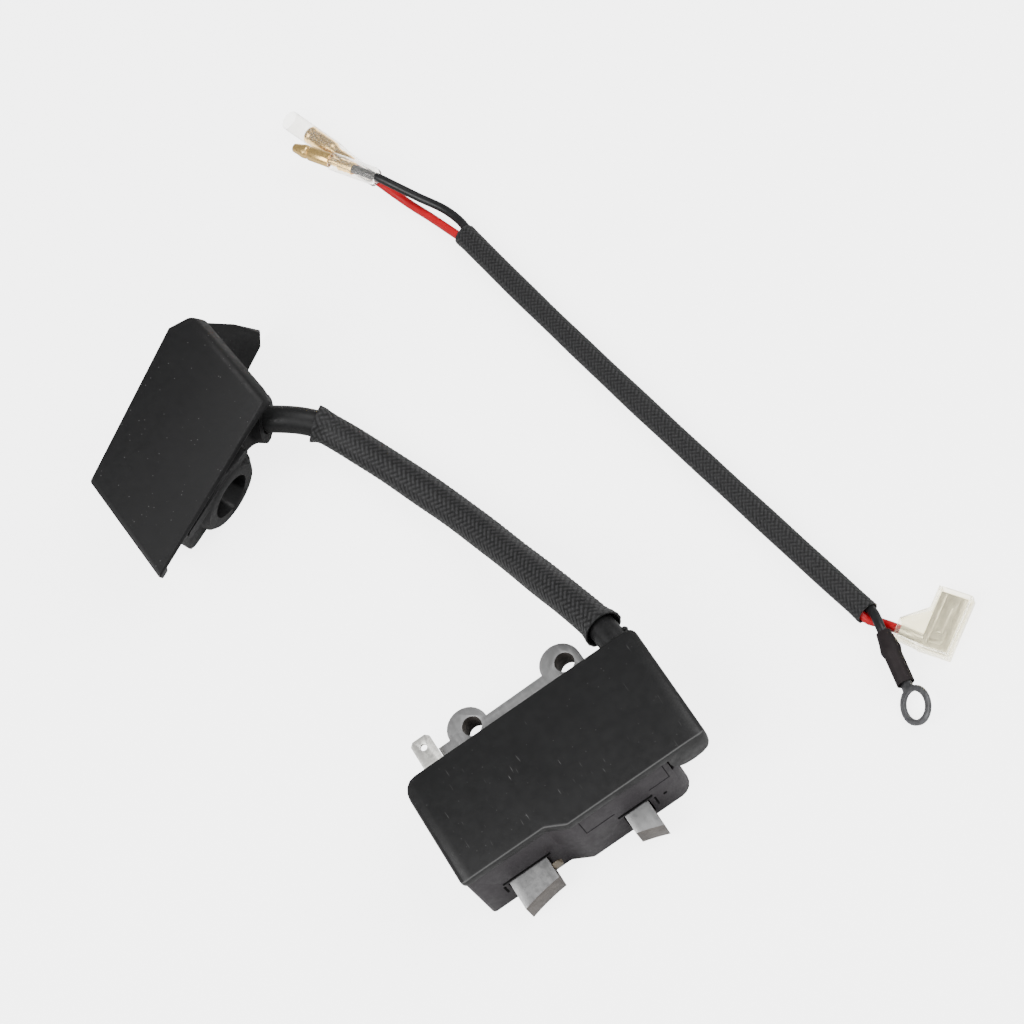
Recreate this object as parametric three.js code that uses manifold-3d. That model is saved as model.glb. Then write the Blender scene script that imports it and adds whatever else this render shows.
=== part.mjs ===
// Ignition coil of a small two-stroke engine, with its high-tension lead, its
// spark plug cover and the low-tension lead that plugs on its spade tab.
// Millimetres, +Z up.  The origin is midway between the two mounting holes, on
// the underside of the laminated core; the pole legs point to -Y.

import * as THREE from 'three';
import { ConvexGeometry } from 'three/addons/geometries/ConvexGeometry.js';
import { mergeVertices } from 'three/addons/utils/BufferGeometryUtils.js';
import Module from 'manifold-3d';

const wasm = await Module();
wasm.setup();

// ---------------------------------------------------------------- clearances
const FIT = 0.3; // between pieces that fit into or over each other
const SEAT = 0.1; // between pieces that rest flat on each other
const OVERCUT = 1; // how far a cutting solid runs past the face it opens

// ---------------------------------------------------------------- core
const CORE_THICK = 6.5;
const HOLE_SPACING = 26.2;
const HOLE_RADIUS = 2.45;
const LUG_RADIUS = 5.2;
const LUG_SHIFT = -1; // lug circle against its hole, along X
const BAR_FRONT = 0.5; // outer edge of the bar between the lugs
const BAR_LEFT = -22.5;
const LEG_LEFT = { x0: -25.1, x1: -14.9 };
const LEG_RIGHT = { x0: 4.9, x1: 11.2 };
const FLYWHEEL = { x: -10.05, y: -98.6, radius: 55.2 };
const RIVET_SPOTS = [[-19.5, -5.2], [0, -4.6], [14.6, -6.9]];
const RIVET_RADIUS = 1.3;
const RIVET_HEAD_RADIUS = 2.2;
const RIVET_HEAD_THICK = 0.7;

// ---------------------------------------------------------------- housing
const BACK_Y = -9.9;
const LEFT_X = -33.1;
const RIGHT_X = 30.6;
const FRONT_LEFT_Y = -38.6;
const FRONT_RIGHT_Y = -41.2;
const STEP_X0 = -10.9;
const STEP_X1 = -6.2;
const TOP_Z = 22.4;
const BASE_Z = -2.6; // what the coil stands on
const SEAM_Z = 19.4;
const WALL = 1.6;
const ROOF = 2;
const FLOOR = 0.7;
const LIP = 0.5; // the top stands proud of the body by this
const CORNER_BACK_LEFT = 4;
const CORNER_SMALL = 1.5;
const CORNER_BODY = 4;
const BODY_RIGHT_X = 21.7;
const TOWER_HEIGHT = 10;
const TOWER_LEFT_X = 20;
const TOWER_ROUND = 4.6;

// ---------------------------------------------------------------- leads
const LEAD_RADIUS = 3.5;
const LEAD_BORE_RADIUS = LEAD_RADIUS + FIT + 0.1;
const LEAD_X = 25.2;
const LEAD_Z = TOP_Z - 5;
const LEAD_DEPTH = 10.6; // how far the lead goes into the tower
const BRAID_BORE_RADIUS = LEAD_RADIUS + 0.45;
const BRAID_RADIUS = BRAID_BORE_RADIUS + 0.35;
const BRAID_START = 0.115; // shares of the lead's length
const BRAID_END = 0.8;

// Route of the high-tension lead, from its end in the tower to its end in the boot
const LEAD_ROUTE = [
  [LEAD_X, BACK_Y - LEAD_DEPTH, LEAD_Z], [LEAD_X, -15, LEAD_Z], [LEAD_X, BACK_Y, LEAD_Z],
  [25.0, -4.8, LEAD_Z - 0.2], [24.2, -0.2, LEAD_Z - 1], [22.3, 8.8, 14], [20, 18.9, 10.6], [17.1, 31.5, 6.8],
  [14.2, 43.3, 4], [11.2, 54.1, 2.4], [8, 64, 1.8], [4.7, 73.5, 1.8], [1.4, 82.2, 2.1],
  [-1.8, 89.6, 3.6], [-4.6, 94.4, 5.8], [-7.9, 97.5, 7.6], [-11.2, 99.9, 8.8],
  [-14.9, 102.6, 9.4], [-17.6, 104.6, 9.7], [-20.8, 105.5, 9.72], [-24, 105.2, 9.72],
  [-26.62, 104.15, 9.72], [-28.9, 103.03, 9.72], [-30.67, 102.18, 9.72],
];

// ---------------------------------------------------------------- plug cover and boot
const CAP_X = -32.7;
const CAP_Y = 90.6;
const COVER_TURN = 33; // degrees, cover's width direction from +X
const BOOT_TURN = 26; // degrees, boot's width direction from +X
const BOOT_DROP = 14; // degrees, the mouth points this far down
const BOOT_MOUTH_Z = 7.35;
const COVER_WALL = 2;
const MOUTH_RADIUS = 10.25;
const MOUTH_DEPTH = 3.5;
const BARREL_RADIUS = 8.5;
const BARREL_DEPTH = 15.2;
const PLUG_BORE_RADIUS = 6.2;
const PLUG_BORE_DEPTH = 13;
const FLANGE = { x0: -16, x1: 12, y0: -8.6, y1: 9.4, thick: 4 };
const LEDGE = { x0: -15.6, x1: 10.5, y0: 6.8, y1: 9.9, front: -0.3 }; // along the top of the mouth
const ARM_RADIUS = LEAD_RADIUS + 2.8;
const ARM_START = 0.885; // share of the lead's length
const ARM_DEPTH = 9.8; // behind the mouth
const BARB_REACH = 6.5; // from the boot's axis into the lead's end
const SPRING_RADIUS = 3.4;
const SPRING_WIRE = 0.45;
const SPRING_TURNS = 4;

/** Corners of the cover's outside, [along its width, towards its mouth, up]. */
const COVER_CORNERS = {
  backLeft: [-14.4, -24.6, 30], backRight: [29.6, -25.9, 30], sideRight: [35.2, -22.1, 28.8],
  frontRight: [22, 4.8, 22.2], frontLeft: [-29.2, 1, 21], lipRight: [22.8, 4.9, 19.3], hookLeft: [-28.4, 0, 17.5],
  footLeft: [-16, -19.6, BASE_Z], footRight: [44.6, -20.2, BASE_Z], footTip: [47, -20.2, 0.4],
};

// ---------------------------------------------------------------- pieces inside the housing, and the tab
const TAB = { x0: -27.75, x1: -22.5, y0: -13.2, y1: 4.3, z0: CORE_THICK + 1.1, thick: 0.8, chamfer: 0.9, hole: 0.85 };
const LEG_COIL = { y0: -34, y1: -15, wall: 0.6, flange: 0.8, rise: 0.9, build: 0.7 };
const TRANSFORMER = { x0: -4, x1: 18.6, y: -25, z: 14.6, rod: 2, flange: 0.8 };
const POTTING = { x0: -5, x1: 19.4, y0: -36.4, y1: -13, z0: 8.9, z1: 20.1 };
const BOARD = { x0: -30.5, x1: -8, y0: -35.8, y1: -12.6, z0: CORE_THICK + 2.5, thick: 1.6 };
const PRIMARY = { bore: 2.3, tubeRadius: 2.9, copperRadius: 3.5 };
const SECONDARY = { bore: 3.8, tubeRadius: 4.3, copperRadius: 5.0, rim: 5.2 };

// ---------------------------------------------------------------- low-tension lead
const WIRE_RADIUS = 1.15;
const HARNESS_BORE_RADIUS = 2.75;
const HARNESS_RADIUS = 3.1;
const HARNESS_ROUTE = [
  [53.6, 121, 0.5], [56.6, 97.6, 0.5], [60.8, 68.4, 0.5], [65.1, 40.6, 0.5],
  [69.4, 14, 0.5], [73.6, -11.5, 0.5], [76.9, -30.7, 0.5],
];
const BLACK_ROUTE = [
  [38.45, 158.65, 4.6], [41.2, 153.7, 4.6], [43.95, 148.75, 4.6], [46, 144.7, 3.9], [49.6, 138.2, 1.8],
  [53.2, 131.2, 0.7],
  [54.7, 125.5, 0.5], [55, 120.3, 0.5], [55.7, 114.5, 0.5], [57.9, 97.8, 0.5], [62, 68.6, 0.5], [66.3, 40.8, 0.5],
  [70.6, 14.2, 0.5], [74.8, -11.3, 0.5], [77.7, -28.4, 0.6], [77.9, -32, 1.6], [77.1, -36, 2.2],
  [76.6, -38.6, 1.9],
];
const RED_ROUTE = [
  [39.18, 166.2, 0.08], [41.4, 158.5, 0.04], [43.48, 151.25, 0], [44.9, 146.3, -0.4], [46.9, 140, -1.2],
  [49.2, 132.8, -1],
  [51.2, 125.1, 0.2], [52.4, 120.6, 0.5], [53.2, 114.5, 0.5], [55.4, 97.4, 0.5], [59.6, 68.2, 0.5],
  [63.9, 40.4, 0.5], [68.2, 13.8, 0.5], [72.4, -11.7, 0.5], [75.3, -28.6, 0.4], [76.4, -32, -0.8],
  [77.6, -33.2, -1.2], [78.85, -35.3, -0.7], [79.75, -37, -0.3], [80.65, -38.74, -0.25], [82.4, -42.15, -0.25],
];
const MALE_TIP = [30.3, 173.3, 4.6];
const MALE_TAIL = [43.7, 149.2, 4.6];
const FEMALE_MOUTH = [33.7, 185.3, 0.2];
const FEMALE_TAIL = [43.2, 152.2, 0];
const BULLET_RADIUS = 1.95;
const SOCKET_RADIUS = 2.35;
const CRIMP_RADIUS = 1.65;
const RING_CENTRE = [72.8, -56.1, 1.1];
const RING_RADIUS = 4.6;
const RING_HOLE_RADIUS = 3.25;
const RING_THICK = 0.8;
const NECK_STEP = 0.06; // the neck is drawn down by this on each face
const RING_ROLL = -42; // degrees about the wire
const FLAG_CENTRE = [89.4, -43.4, -0.25];
const FLAG_TURN = 33; // degrees, receptacle's long direction from +X
const FLAG = { length: 13.4, width: 6.4, height: 2.6, metal: 0.4, crimpRadius: 1.45 };
const INSULATOR_WALL = 0.6;

// ---------------------------------------------------------------- materials
const PALETTE = {
  housing: { color: 0x2d2d2e, roughness: 0.45, metalness: 0 },
  moulding: { color: 0x4a464a, roughness: 0.5, metalness: 0 },
  epoxy: { color: 0x3a2f28, roughness: 0.3, metalness: 0 },
  steel: { color: 0x9b9b9b, roughness: 0.4, metalness: 0.9 },
  tin: { color: 0xc8c8c4, roughness: 0.3, metalness: 0.9 },
  brass: { color: 0xd4af69, roughness: 0.25, metalness: 0.9 },
  copper: { color: 0xb0683a, roughness: 0.4, metalness: 0.8 },
  nylon: { color: 0xd8d2c0, roughness: 0.5, metalness: 0 },
  ferrite: { color: 0x35363a, roughness: 0.6, metalness: 0.2 },
  board: { color: 0x2f6b3c, roughness: 0.6, metalness: 0 },
  film: { color: 0xa5502d, roughness: 0.35, metalness: 0 },
  rubber: { color: 0x202021, roughness: 0.7, metalness: 0 },
  braid: { color: 0x1c1c1d, roughness: 0.8, metalness: 0 },
  red: { color: 0xcd2d32, roughness: 0.4, metalness: 0 },
  clear: { color: 0xe1ded7, roughness: 0.2, metalness: 0 },
};

const coil = new THREE.Group();

// ---------------------------------------------------------------- helpers

/** Adds a named piece to the object. */
function addPiece(name, shape, finish) {
  const geometry = shape.isBufferGeometry ? shape : fromSolid(shape);
  geometry.computeVertexNormals();
  const mesh = new THREE.Mesh(geometry, new THREE.MeshStandardMaterial(PALETTE[finish]));
  mesh.name = name;
  coil.add(mesh);
}

/** A closed geometry as a solid that can be joined and cut. */
function toSolid(geometry) {
  const bare = geometry.clone();
  bare.deleteAttribute('normal');
  bare.deleteAttribute('uv');
  const merged = mergeVertices(bare, 1e-4);
  return new wasm.Manifold(new wasm.Mesh({
    numProp: 3,
    vertProperties: new Float32Array(merged.attributes.position.array),
    triVerts: new Uint32Array(merged.index.array),
  }));
}

/** A solid as a geometry. */
function fromSolid(solid) {
  const mesh = solid.getMesh();
  const geometry = new THREE.BufferGeometry();
  geometry.setAttribute('position', new THREE.BufferAttribute(new Float32Array(mesh.vertProperties), 3));
  geometry.setIndex(new THREE.BufferAttribute(new Uint32Array(mesh.triVerts), 1));
  return geometry.toNonIndexed();
}

/** A box between two corners. */
function box(x0, x1, y0, y1, z0, z1) {
  const geometry = new THREE.BoxGeometry(x1 - x0, y1 - y0, z1 - z0);
  geometry.translate((x0 + x1) / 2, (y0 + y1) / 2, (z0 + z1) / 2);
  return toSolid(geometry);
}

/** Points of an outline whose corners [x, y, radius] are rounded. */
function roundedOutline(corners, arcSteps = 4) {
  const points = [];
  corners.forEach(([x, y, radius], i) => {
    const here = new THREE.Vector2(x, y);
    if (!radius) {
      points.push(here);
      return;
    }
    const before = corners[(i + corners.length - 1) % corners.length];
    const after = corners[(i + 1) % corners.length];
    const toBefore = new THREE.Vector2(before[0] - x, before[1] - y).normalize();
    const toAfter = new THREE.Vector2(after[0] - x, after[1] - y).normalize();
    const half = Math.acos(THREE.MathUtils.clamp(toBefore.dot(toAfter), -1, 1)) / 2;
    const reach = radius / Math.tan(half);
    const centre = toBefore.clone().add(toAfter).normalize().multiplyScalar(radius / Math.sin(half)).add(here);
    const start = toBefore.multiplyScalar(reach).add(here).sub(centre);
    const end = toAfter.multiplyScalar(reach).add(here).sub(centre);
    const sweep = Math.atan2(start.cross(end), start.dot(end));
    for (let k = 0; k <= arcSteps; k += 1) {
      points.push(start.clone().rotateAround(new THREE.Vector2(), (sweep * k) / arcSteps).add(centre));
    }
  });
  return points;
}

/** Points of a circle. */
function circle(x, y, radius, sides) {
  return Array.from({ length: sides }, (_, i) => {
    const angle = (2 * Math.PI * i) / sides;
    return new THREE.Vector2(x + radius * Math.cos(angle), y + radius * Math.sin(angle));
  });
}

/** A flat outline drawn up from z0 to z1. */
function prism(points, z0, z1, holes = []) {
  const shape = new THREE.Shape(points);
  shape.holes = holes.map((hole) => new THREE.Path(hole));
  const geometry = new THREE.ExtrudeGeometry(shape, { depth: z1 - z0, bevelEnabled: false });
  geometry.translate(0, 0, z0);
  return geometry;
}

/** A turned solid about Z from [radius, z] points, which close on themselves or on the axis. */
function turned(profile, segments = 16) {
  const closed = profile[0][0] > 0 ? [...profile, profile[0]] : profile;
  const geometry = new THREE.LatheGeometry(closed.map(([r, z]) => new THREE.Vector2(r, z)), segments);
  geometry.rotateX(Math.PI / 2);
  return geometry;
}

/** A ring about Z. */
function ring(inner, outer, z0, z1, segments = 16) {
  return turned([[inner, z0], [outer, z0], [outer, z1], [inner, z1]], segments);
}

/** A cylinder about Z. */
function rod(radius, z0, z1, segments = 16) {
  return turned([[0, z0], [radius, z0], [radius, z1], [0, z1]], segments);
}

/** A frame at a point, with Z along one direction and X as near as it can be to another. */
function frameAt(origin, along, sideways) {
  const z = new THREE.Vector3(...along).normalize();
  const x = new THREE.Vector3(...sideways);
  x.addScaledVector(z, -x.dot(z)).normalize();
  const y = new THREE.Vector3().crossVectors(z, x);
  return new THREE.Matrix4().makeBasis(x, y, z).setPosition(...origin);
}

/** The smooth curve through a list of points. */
function route(points) {
  return new THREE.CatmullRomCurve3(points.map((p) => new THREE.Vector3(...p)), false, 'centripetal');
}

/** A stretch of a curve between two shares of its length. */
function stretch(curve, from, to, count) {
  const points = Array.from({ length: count + 1 }, (_, i) => curve.getPointAt(from + ((to - from) * i) / count));
  return new THREE.CatmullRomCurve3(points, false, 'centripetal');
}

/** A tube along a curve, hollow where a bore is given. */
function tube(curve, radius, sides, steps, bore = 0) {
  const shape = new THREE.Shape(circle(0, 0, radius, sides));
  if (bore) {
    shape.holes = [new THREE.Path(circle(0, 0, bore, sides))];
  }
  return new THREE.ExtrudeGeometry(shape, { steps, bevelEnabled: false, extrudePath: curve });
}

// ---------------------------------------------------------------- core stack

/** How far a leg reaches at x, where the flywheel's rim passes. */
function tipY(x) {
  return FLYWHEEL.y + Math.sqrt(FLYWHEEL.radius ** 2 - (x - FLYWHEEL.x) ** 2);
}

/** Tip of a leg, from its left corner to its right one. */
function tipArc(leg, steps = 5) {
  return Array.from({ length: steps + 1 }, (_, i) => {
    const x = leg.x0 + ((leg.x1 - leg.x0) * i) / steps;
    return new THREE.Vector2(x, tipY(x));
  });
}

function coreStack() {
  const inner = BACK_Y + FIT;
  const lugX = [-HOLE_SPACING / 2, HOLE_SPACING / 2];
  const outline = [
    new THREE.Vector2(BAR_LEFT, BAR_FRONT - 0.4), new THREE.Vector2(BAR_LEFT, -5.5),
    new THREE.Vector2(LEG_LEFT.x0, -8), ...tipArc(LEG_LEFT), new THREE.Vector2(LEG_LEFT.x1, inner),
    new THREE.Vector2(LEG_RIGHT.x0, inner), ...tipArc(LEG_RIGHT), new THREE.Vector2(LEG_RIGHT.x1, inner),
    new THREE.Vector2(lugX[1] + LUG_SHIFT + LUG_RADIUS, inner),
    new THREE.Vector2(lugX[1] + LUG_SHIFT + LUG_RADIUS, 0.2), new THREE.Vector2(lugX[1], BAR_FRONT),
  ];
  let core = toSolid(prism(outline, 0, CORE_THICK));
  lugX.forEach((x) => {
    core = core.add(toSolid(prism(circle(x + LUG_SHIFT, 0.2, LUG_RADIUS, 28), 0, CORE_THICK)));
    core = core.subtract(toSolid(prism(circle(x, 0, HOLE_RADIUS, 20), -OVERCUT, CORE_THICK + OVERCUT)));
  });
  RIVET_SPOTS.forEach(([x, y]) => {
    core = core.subtract(toSolid(prism(circle(x, y, RIVET_RADIUS + FIT, 12), -OVERCUT, CORE_THICK + OVERCUT)));
  });
  return core;
}

/** A rivet that holds the laminations, set at x, y. */
function coreRivet([x, y]) {
  const top = CORE_THICK + SEAT;
  const geometry = turned([
    [0, -SEAT - RIVET_HEAD_THICK], [RIVET_HEAD_RADIUS * 0.7, -SEAT - RIVET_HEAD_THICK],
    [RIVET_HEAD_RADIUS, -SEAT - 0.2], [RIVET_HEAD_RADIUS, -SEAT], [RIVET_RADIUS, -SEAT],
    [RIVET_RADIUS, top], [RIVET_HEAD_RADIUS, top], [RIVET_HEAD_RADIUS, top + 0.2],
    [RIVET_HEAD_RADIUS * 0.7, top + RIVET_HEAD_THICK], [0, top + RIVET_HEAD_THICK],
  ], 12);
  geometry.translate(x, y, 0);
  return geometry;
}

// ---------------------------------------------------------------- housing

/** Outline of the housing, drawn in by an inset, with its right side at x. */
function housingOutline(inset, rightX, rightCorner) {
  const shrink = (radius) => Math.max(radius - inset, 0.3);
  return roundedOutline([
    [LEFT_X + inset, BACK_Y - inset, shrink(CORNER_BACK_LEFT)],
    [LEFT_X + inset, FRONT_LEFT_Y + inset, shrink(CORNER_SMALL)],
    [STEP_X0, FRONT_LEFT_Y + inset, 2],
    [STEP_X1, FRONT_RIGHT_Y + inset, 2],
    [rightX - inset, FRONT_RIGHT_Y + inset, shrink(rightCorner)],
    [rightX - inset, BACK_Y - inset, shrink(rightCorner)],
  ]);
}

/** The tower at the right end, a round-bellied bar along Y that takes the lead. */
function tower() {
  const bottom = TOP_Z - TOWER_HEIGHT;
  const points = roundedOutline([
    [TOWER_LEFT_X, bottom, TOWER_ROUND], [RIGHT_X, bottom, TOWER_ROUND],
    [RIGHT_X, TOP_Z, 0], [TOWER_LEFT_X, TOP_Z, 0],
  ]);
  const geometry = prism(points, 0, BACK_Y - FRONT_RIGHT_Y);
  geometry.rotateX(Math.PI / 2);
  geometry.translate(0, BACK_Y, 0);
  return toSolid(geometry);
}

function housingTop() {
  const outline = housingOutline(0, RIGHT_X, CORNER_SMALL);
  const pocket = housingOutline(LIP + WALL, TOWER_LEFT_X + LIP + WALL, CORNER_SMALL);
  const envelope = toSolid(prism(outline, BASE_Z, TOP_Z));
  const bore = rod(LEAD_BORE_RADIUS, 0, LEAD_DEPTH + OVERCUT + FIT);
  const chamber = rod(2, LEAD_DEPTH, LEAD_DEPTH + 8);
  [bore, chamber].forEach((geometry) => {
    geometry.rotateX(Math.PI / 2);
    geometry.translate(LEAD_X, BACK_Y, LEAD_Z);
  });
  bore.translate(0, OVERCUT, 0);
  return toSolid(prism(outline, SEAM_Z, TOP_Z))
    .subtract(toSolid(prism(pocket, SEAM_Z - OVERCUT, TOP_Z - ROOF)))
    .add(tower().intersect(envelope))
    .subtract(toSolid(bore))
    .subtract(toSolid(chamber))
    .subtract(box(TOWER_LEFT_X - 3, LEAD_X, -27, -23, LEAD_Z - 1.5, LEAD_Z + 1.5));
}

/** Space that a leg of the core passes through. */
function legSlot(leg) {
  return box(leg.x0 - FIT, leg.x1 + FIT, -60, BACK_Y + 5, -FIT, CORE_THICK + FIT);
}

function housingBody() {
  const outline = housingOutline(LIP, BODY_RIGHT_X + LIP, CORNER_BODY);
  const pocket = housingOutline(LIP + WALL, BODY_RIGHT_X + LIP, CORNER_BODY);
  const towerSpace = box(TOWER_LEFT_X - FIT, 40, -60, 0, TOP_Z - TOWER_HEIGHT - FIT, 30);
  return toSolid(prism(outline, BASE_Z, SEAM_Z - SEAT))
    .subtract(toSolid(prism(pocket, BASE_Z + FLOOR, TOP_Z)))
    .subtract(towerSpace)
    .subtract(legSlot(LEG_LEFT))
    .subtract(legSlot(LEG_RIGHT))
    .subtract(box(TAB.x0 - FIT, TAB.x1 + FIT, BACK_Y - 5, 0, TAB.z0 - FIT, TAB.z0 + TAB.thick + FIT));
}

// ---------------------------------------------------------------- spade tab

function spadeTab() {
  const { x0, x1, y0, y1, chamfer } = TAB;
  const outline = [
    [x0, y0], [x1, y0], [x1, y1 - chamfer], [x1 - chamfer, y1], [x0 + chamfer, y1], [x0, y1 - chamfer],
  ].map(([x, y]) => new THREE.Vector2(x, y));
  const hole = circle((x0 + x1) / 2, y1 - 2.7, TAB.hole, 12);
  return prism(outline, TAB.z0, TAB.z0 + TAB.thick, [hole]);
}

// ---------------------------------------------------------------- coils on the legs

/** A rectangular sleeve round a leg, between two distances from the leg. */
function legSleeve(leg, inner, outer, y0, y1) {
  return box(leg.x0 - outer, leg.x1 + outer, y0, y1, -outer, CORE_THICK + outer)
    .subtract(box(leg.x0 - inner, leg.x1 + inner, y0 - OVERCUT, y1 + OVERCUT, -inner, CORE_THICK + inner));
}

function legBobbin(leg) {
  const { y0, y1, wall, flange, rise } = LEG_COIL;
  return legSleeve(leg, FIT, FIT + wall, y0, y1)
    .add(legSleeve(leg, FIT, FIT + wall + rise, y0, y0 + flange))
    .add(legSleeve(leg, FIT, FIT + wall + rise, y1 - flange, y1));
}

function legWinding(leg) {
  const { y0, y1, wall, flange, build } = LEG_COIL;
  const inner = FIT + wall + SEAT;
  return legSleeve(leg, inner, inner + build, y0 + flange + SEAT, y1 - flange - SEAT);
}

// ---------------------------------------------------------------- transformer and circuit

/** Lays a solid turned about Z along X on the transformer's axis. */
function onTransformer(geometry) {
  geometry.rotateY(Math.PI / 2);
  geometry.translate(TRANSFORMER.x0, TRANSFORMER.y, TRANSFORMER.z);
  return geometry;
}

/** A flanged bobbin of the transformer. */
function roundBobbin(bore, tubeRadius, rim) {
  const length = TRANSFORMER.x1 - TRANSFORMER.x0;
  const { flange } = TRANSFORMER;
  return onTransformer(turned([
    [bore, 0], [rim, 0], [rim, flange], [tubeRadius, flange],
    [tubeRadius, length - flange], [rim, length - flange], [rim, length], [bore, length],
  ]));
}

/** The copper on a bobbin of the transformer. */
function roundWinding(tubeRadius, copperRadius) {
  const length = TRANSFORMER.x1 - TRANSFORMER.x0;
  const inset = TRANSFORMER.flange + SEAT;
  return onTransformer(ring(tubeRadius + SEAT, copperRadius, inset, length - inset));
}

function addTransformer() {
  const length = TRANSFORMER.x1 - TRANSFORMER.x0;
  addPiece('transformer_rod', onTransformer(rod(TRANSFORMER.rod, -0.4, length + 0.4)), 'ferrite');
  addPiece('primary_bobbin', roundBobbin(PRIMARY.bore, PRIMARY.tubeRadius, PRIMARY.copperRadius + SEAT), 'nylon');
  addPiece('primary_winding', roundWinding(PRIMARY.tubeRadius, PRIMARY.copperRadius), 'copper');
  addPiece('secondary_bobbin', roundBobbin(SECONDARY.bore, SECONDARY.tubeRadius, SECONDARY.rim), 'nylon');
  addPiece('secondary_winding', roundWinding(SECONDARY.tubeRadius, SECONDARY.copperRadius), 'copper');
  const cavity = onTransformer(rod(SECONDARY.rim + SEAT, -5, length + 5));
  const { x0, x1, y0, y1, z0, z1 } = POTTING;
  addPiece('potting_block', box(x0, x1, y0, y1, z0, z1).subtract(toSolid(cavity)), 'epoxy');
}

function highTensionPin() {
  const pin = rod(1.2, LEAD_DEPTH + FIT, LEAD_DEPTH + 7);
  pin.rotateX(Math.PI / 2);
  pin.translate(LEAD_X, BACK_Y, LEAD_Z);
  const stub = rod(1, POTTING.x1 + FIT, LEAD_X);
  stub.rotateY(Math.PI / 2);
  stub.translate(0, TRANSFORMER.y, LEAD_Z);
  return toSolid(pin).add(toSolid(stub));
}

/** A round component lying along X on the circuit board. */
function lyingPart(radius, x0, x1, y) {
  const geometry = rod(radius, x0, x1, 12);
  geometry.rotateY(Math.PI / 2);
  geometry.translate(0, y, BOARD.z0 + BOARD.thick + SEAT + radius);
  return geometry;
}

function addCircuit() {
  const top = BOARD.z0 + BOARD.thick;
  addPiece('circuit_board', box(BOARD.x0, BOARD.x1, BOARD.y0, BOARD.y1, BOARD.z0, top), 'board');
  addPiece('charge_capacitor', box(-29.5, -18.5, -34.4, -25, top + SEAT, top + 8), 'film');
  addPiece('charge_diode', lyingPart(1.35, -28.5, -23.3, -15.6), 'housing');
  addPiece('clamp_diode', lyingPart(1.35, -28.5, -23.3, -20.2), 'housing');
  addPiece('gate_resistor', lyingPart(1.15, -18.5, -12.2, -16), 'nylon');
  const flat = [[-2.3, -1.1], [2.3, -1.1], [1.7, 1.3], [0, 2.2], [-1.7, 1.3]];
  const thyristor = prism(flat.map(([x, y]) => new THREE.Vector2(x, y)), top + SEAT, top + 4.8);
  thyristor.translate(-13, -30, 0);
  addPiece('thyristor', thyristor, 'housing');
}

// ---------------------------------------------------------------- plug cover

/** The cover's frame: X along its width, Y towards its mouth. */
function coverFrame() {
  const turn = THREE.MathUtils.degToRad(COVER_TURN);
  const width = new THREE.Vector3(Math.cos(turn), Math.sin(turn), 0);
  const forward = new THREE.Vector3(Math.sin(turn), -Math.cos(turn), 0);
  return new THREE.Matrix4().makeBasis(width, forward, new THREE.Vector3(0, 0, 1)).setPosition(CAP_X, CAP_Y, 0);
}

/** The solid with the given corners, in the cover's frame. */
function coverBlock(corners) {
  const matrix = coverFrame();
  return toSolid(new ConvexGeometry(corners.map((c) => new THREE.Vector3(...c).applyMatrix4(matrix))));
}

function plugCover() {
  const c = COVER_CORNERS;
  const t = COVER_WALL;
  const reach = 8; // how far the pocket runs past the open sides
  const pocket = [
    [c.backLeft[0] + t, c.backLeft[1] + t + 0.4, c.backLeft[2] - t - 0.4],
    [c.backRight[0] - t, c.backRight[1] + t + 0.4, c.backRight[2] - t - 0.4],
    [c.frontRight[0] - t - 2, c.frontRight[1] + reach, c.frontRight[2] - t - 2.6],
    [c.frontLeft[0] + t - 4, c.frontLeft[1] + reach, c.frontLeft[2] - t - 2.6],
    [c.footLeft[0] + t, c.footLeft[1] + t, c.footLeft[2] - 1],
    [c.footRight[0] + reach, c.footRight[1] + t, c.footRight[2] - 1],
    [c.frontLeft[0] + t - 2.5, c.frontLeft[1] + reach, c.footLeft[2] - 1],
    [c.footRight[0] + reach, c.frontRight[1] + reach, c.footRight[2] - 1],
  ];
  const side = [
    [15, c.backRight[1] + t + 0.6, 24.4], [60, c.backRight[1] + t + 0.6, 24.4],
    [15, c.frontRight[1] + reach, 16], [60, c.frontRight[1] + reach, 16],
    [15, c.footRight[1] + t, c.footRight[2] - 1], [60, c.footRight[1] + t, c.footRight[2] - 1],
    [15, c.frontRight[1] + reach, c.footRight[2] - 1], [60, c.frontRight[1] + reach, c.footRight[2] - 1],
  ];
  return coverBlock(Object.values(c)).subtract(coverBlock(pocket)).subtract(coverBlock(side));
}

// ---------------------------------------------------------------- plug boot

/** The boot's frame: X along its width, Z out of its mouth. */
function bootFrame() {
  const turn = THREE.MathUtils.degToRad(BOOT_TURN);
  const drop = THREE.MathUtils.degToRad(BOOT_DROP);
  const width = [Math.cos(turn), Math.sin(turn), 0];
  const out = [Math.sin(turn) * Math.cos(drop), -Math.cos(turn) * Math.cos(drop), -Math.sin(drop)];
  return frameAt([CAP_X, CAP_Y, BOOT_MOUTH_Z], out, width);
}

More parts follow.
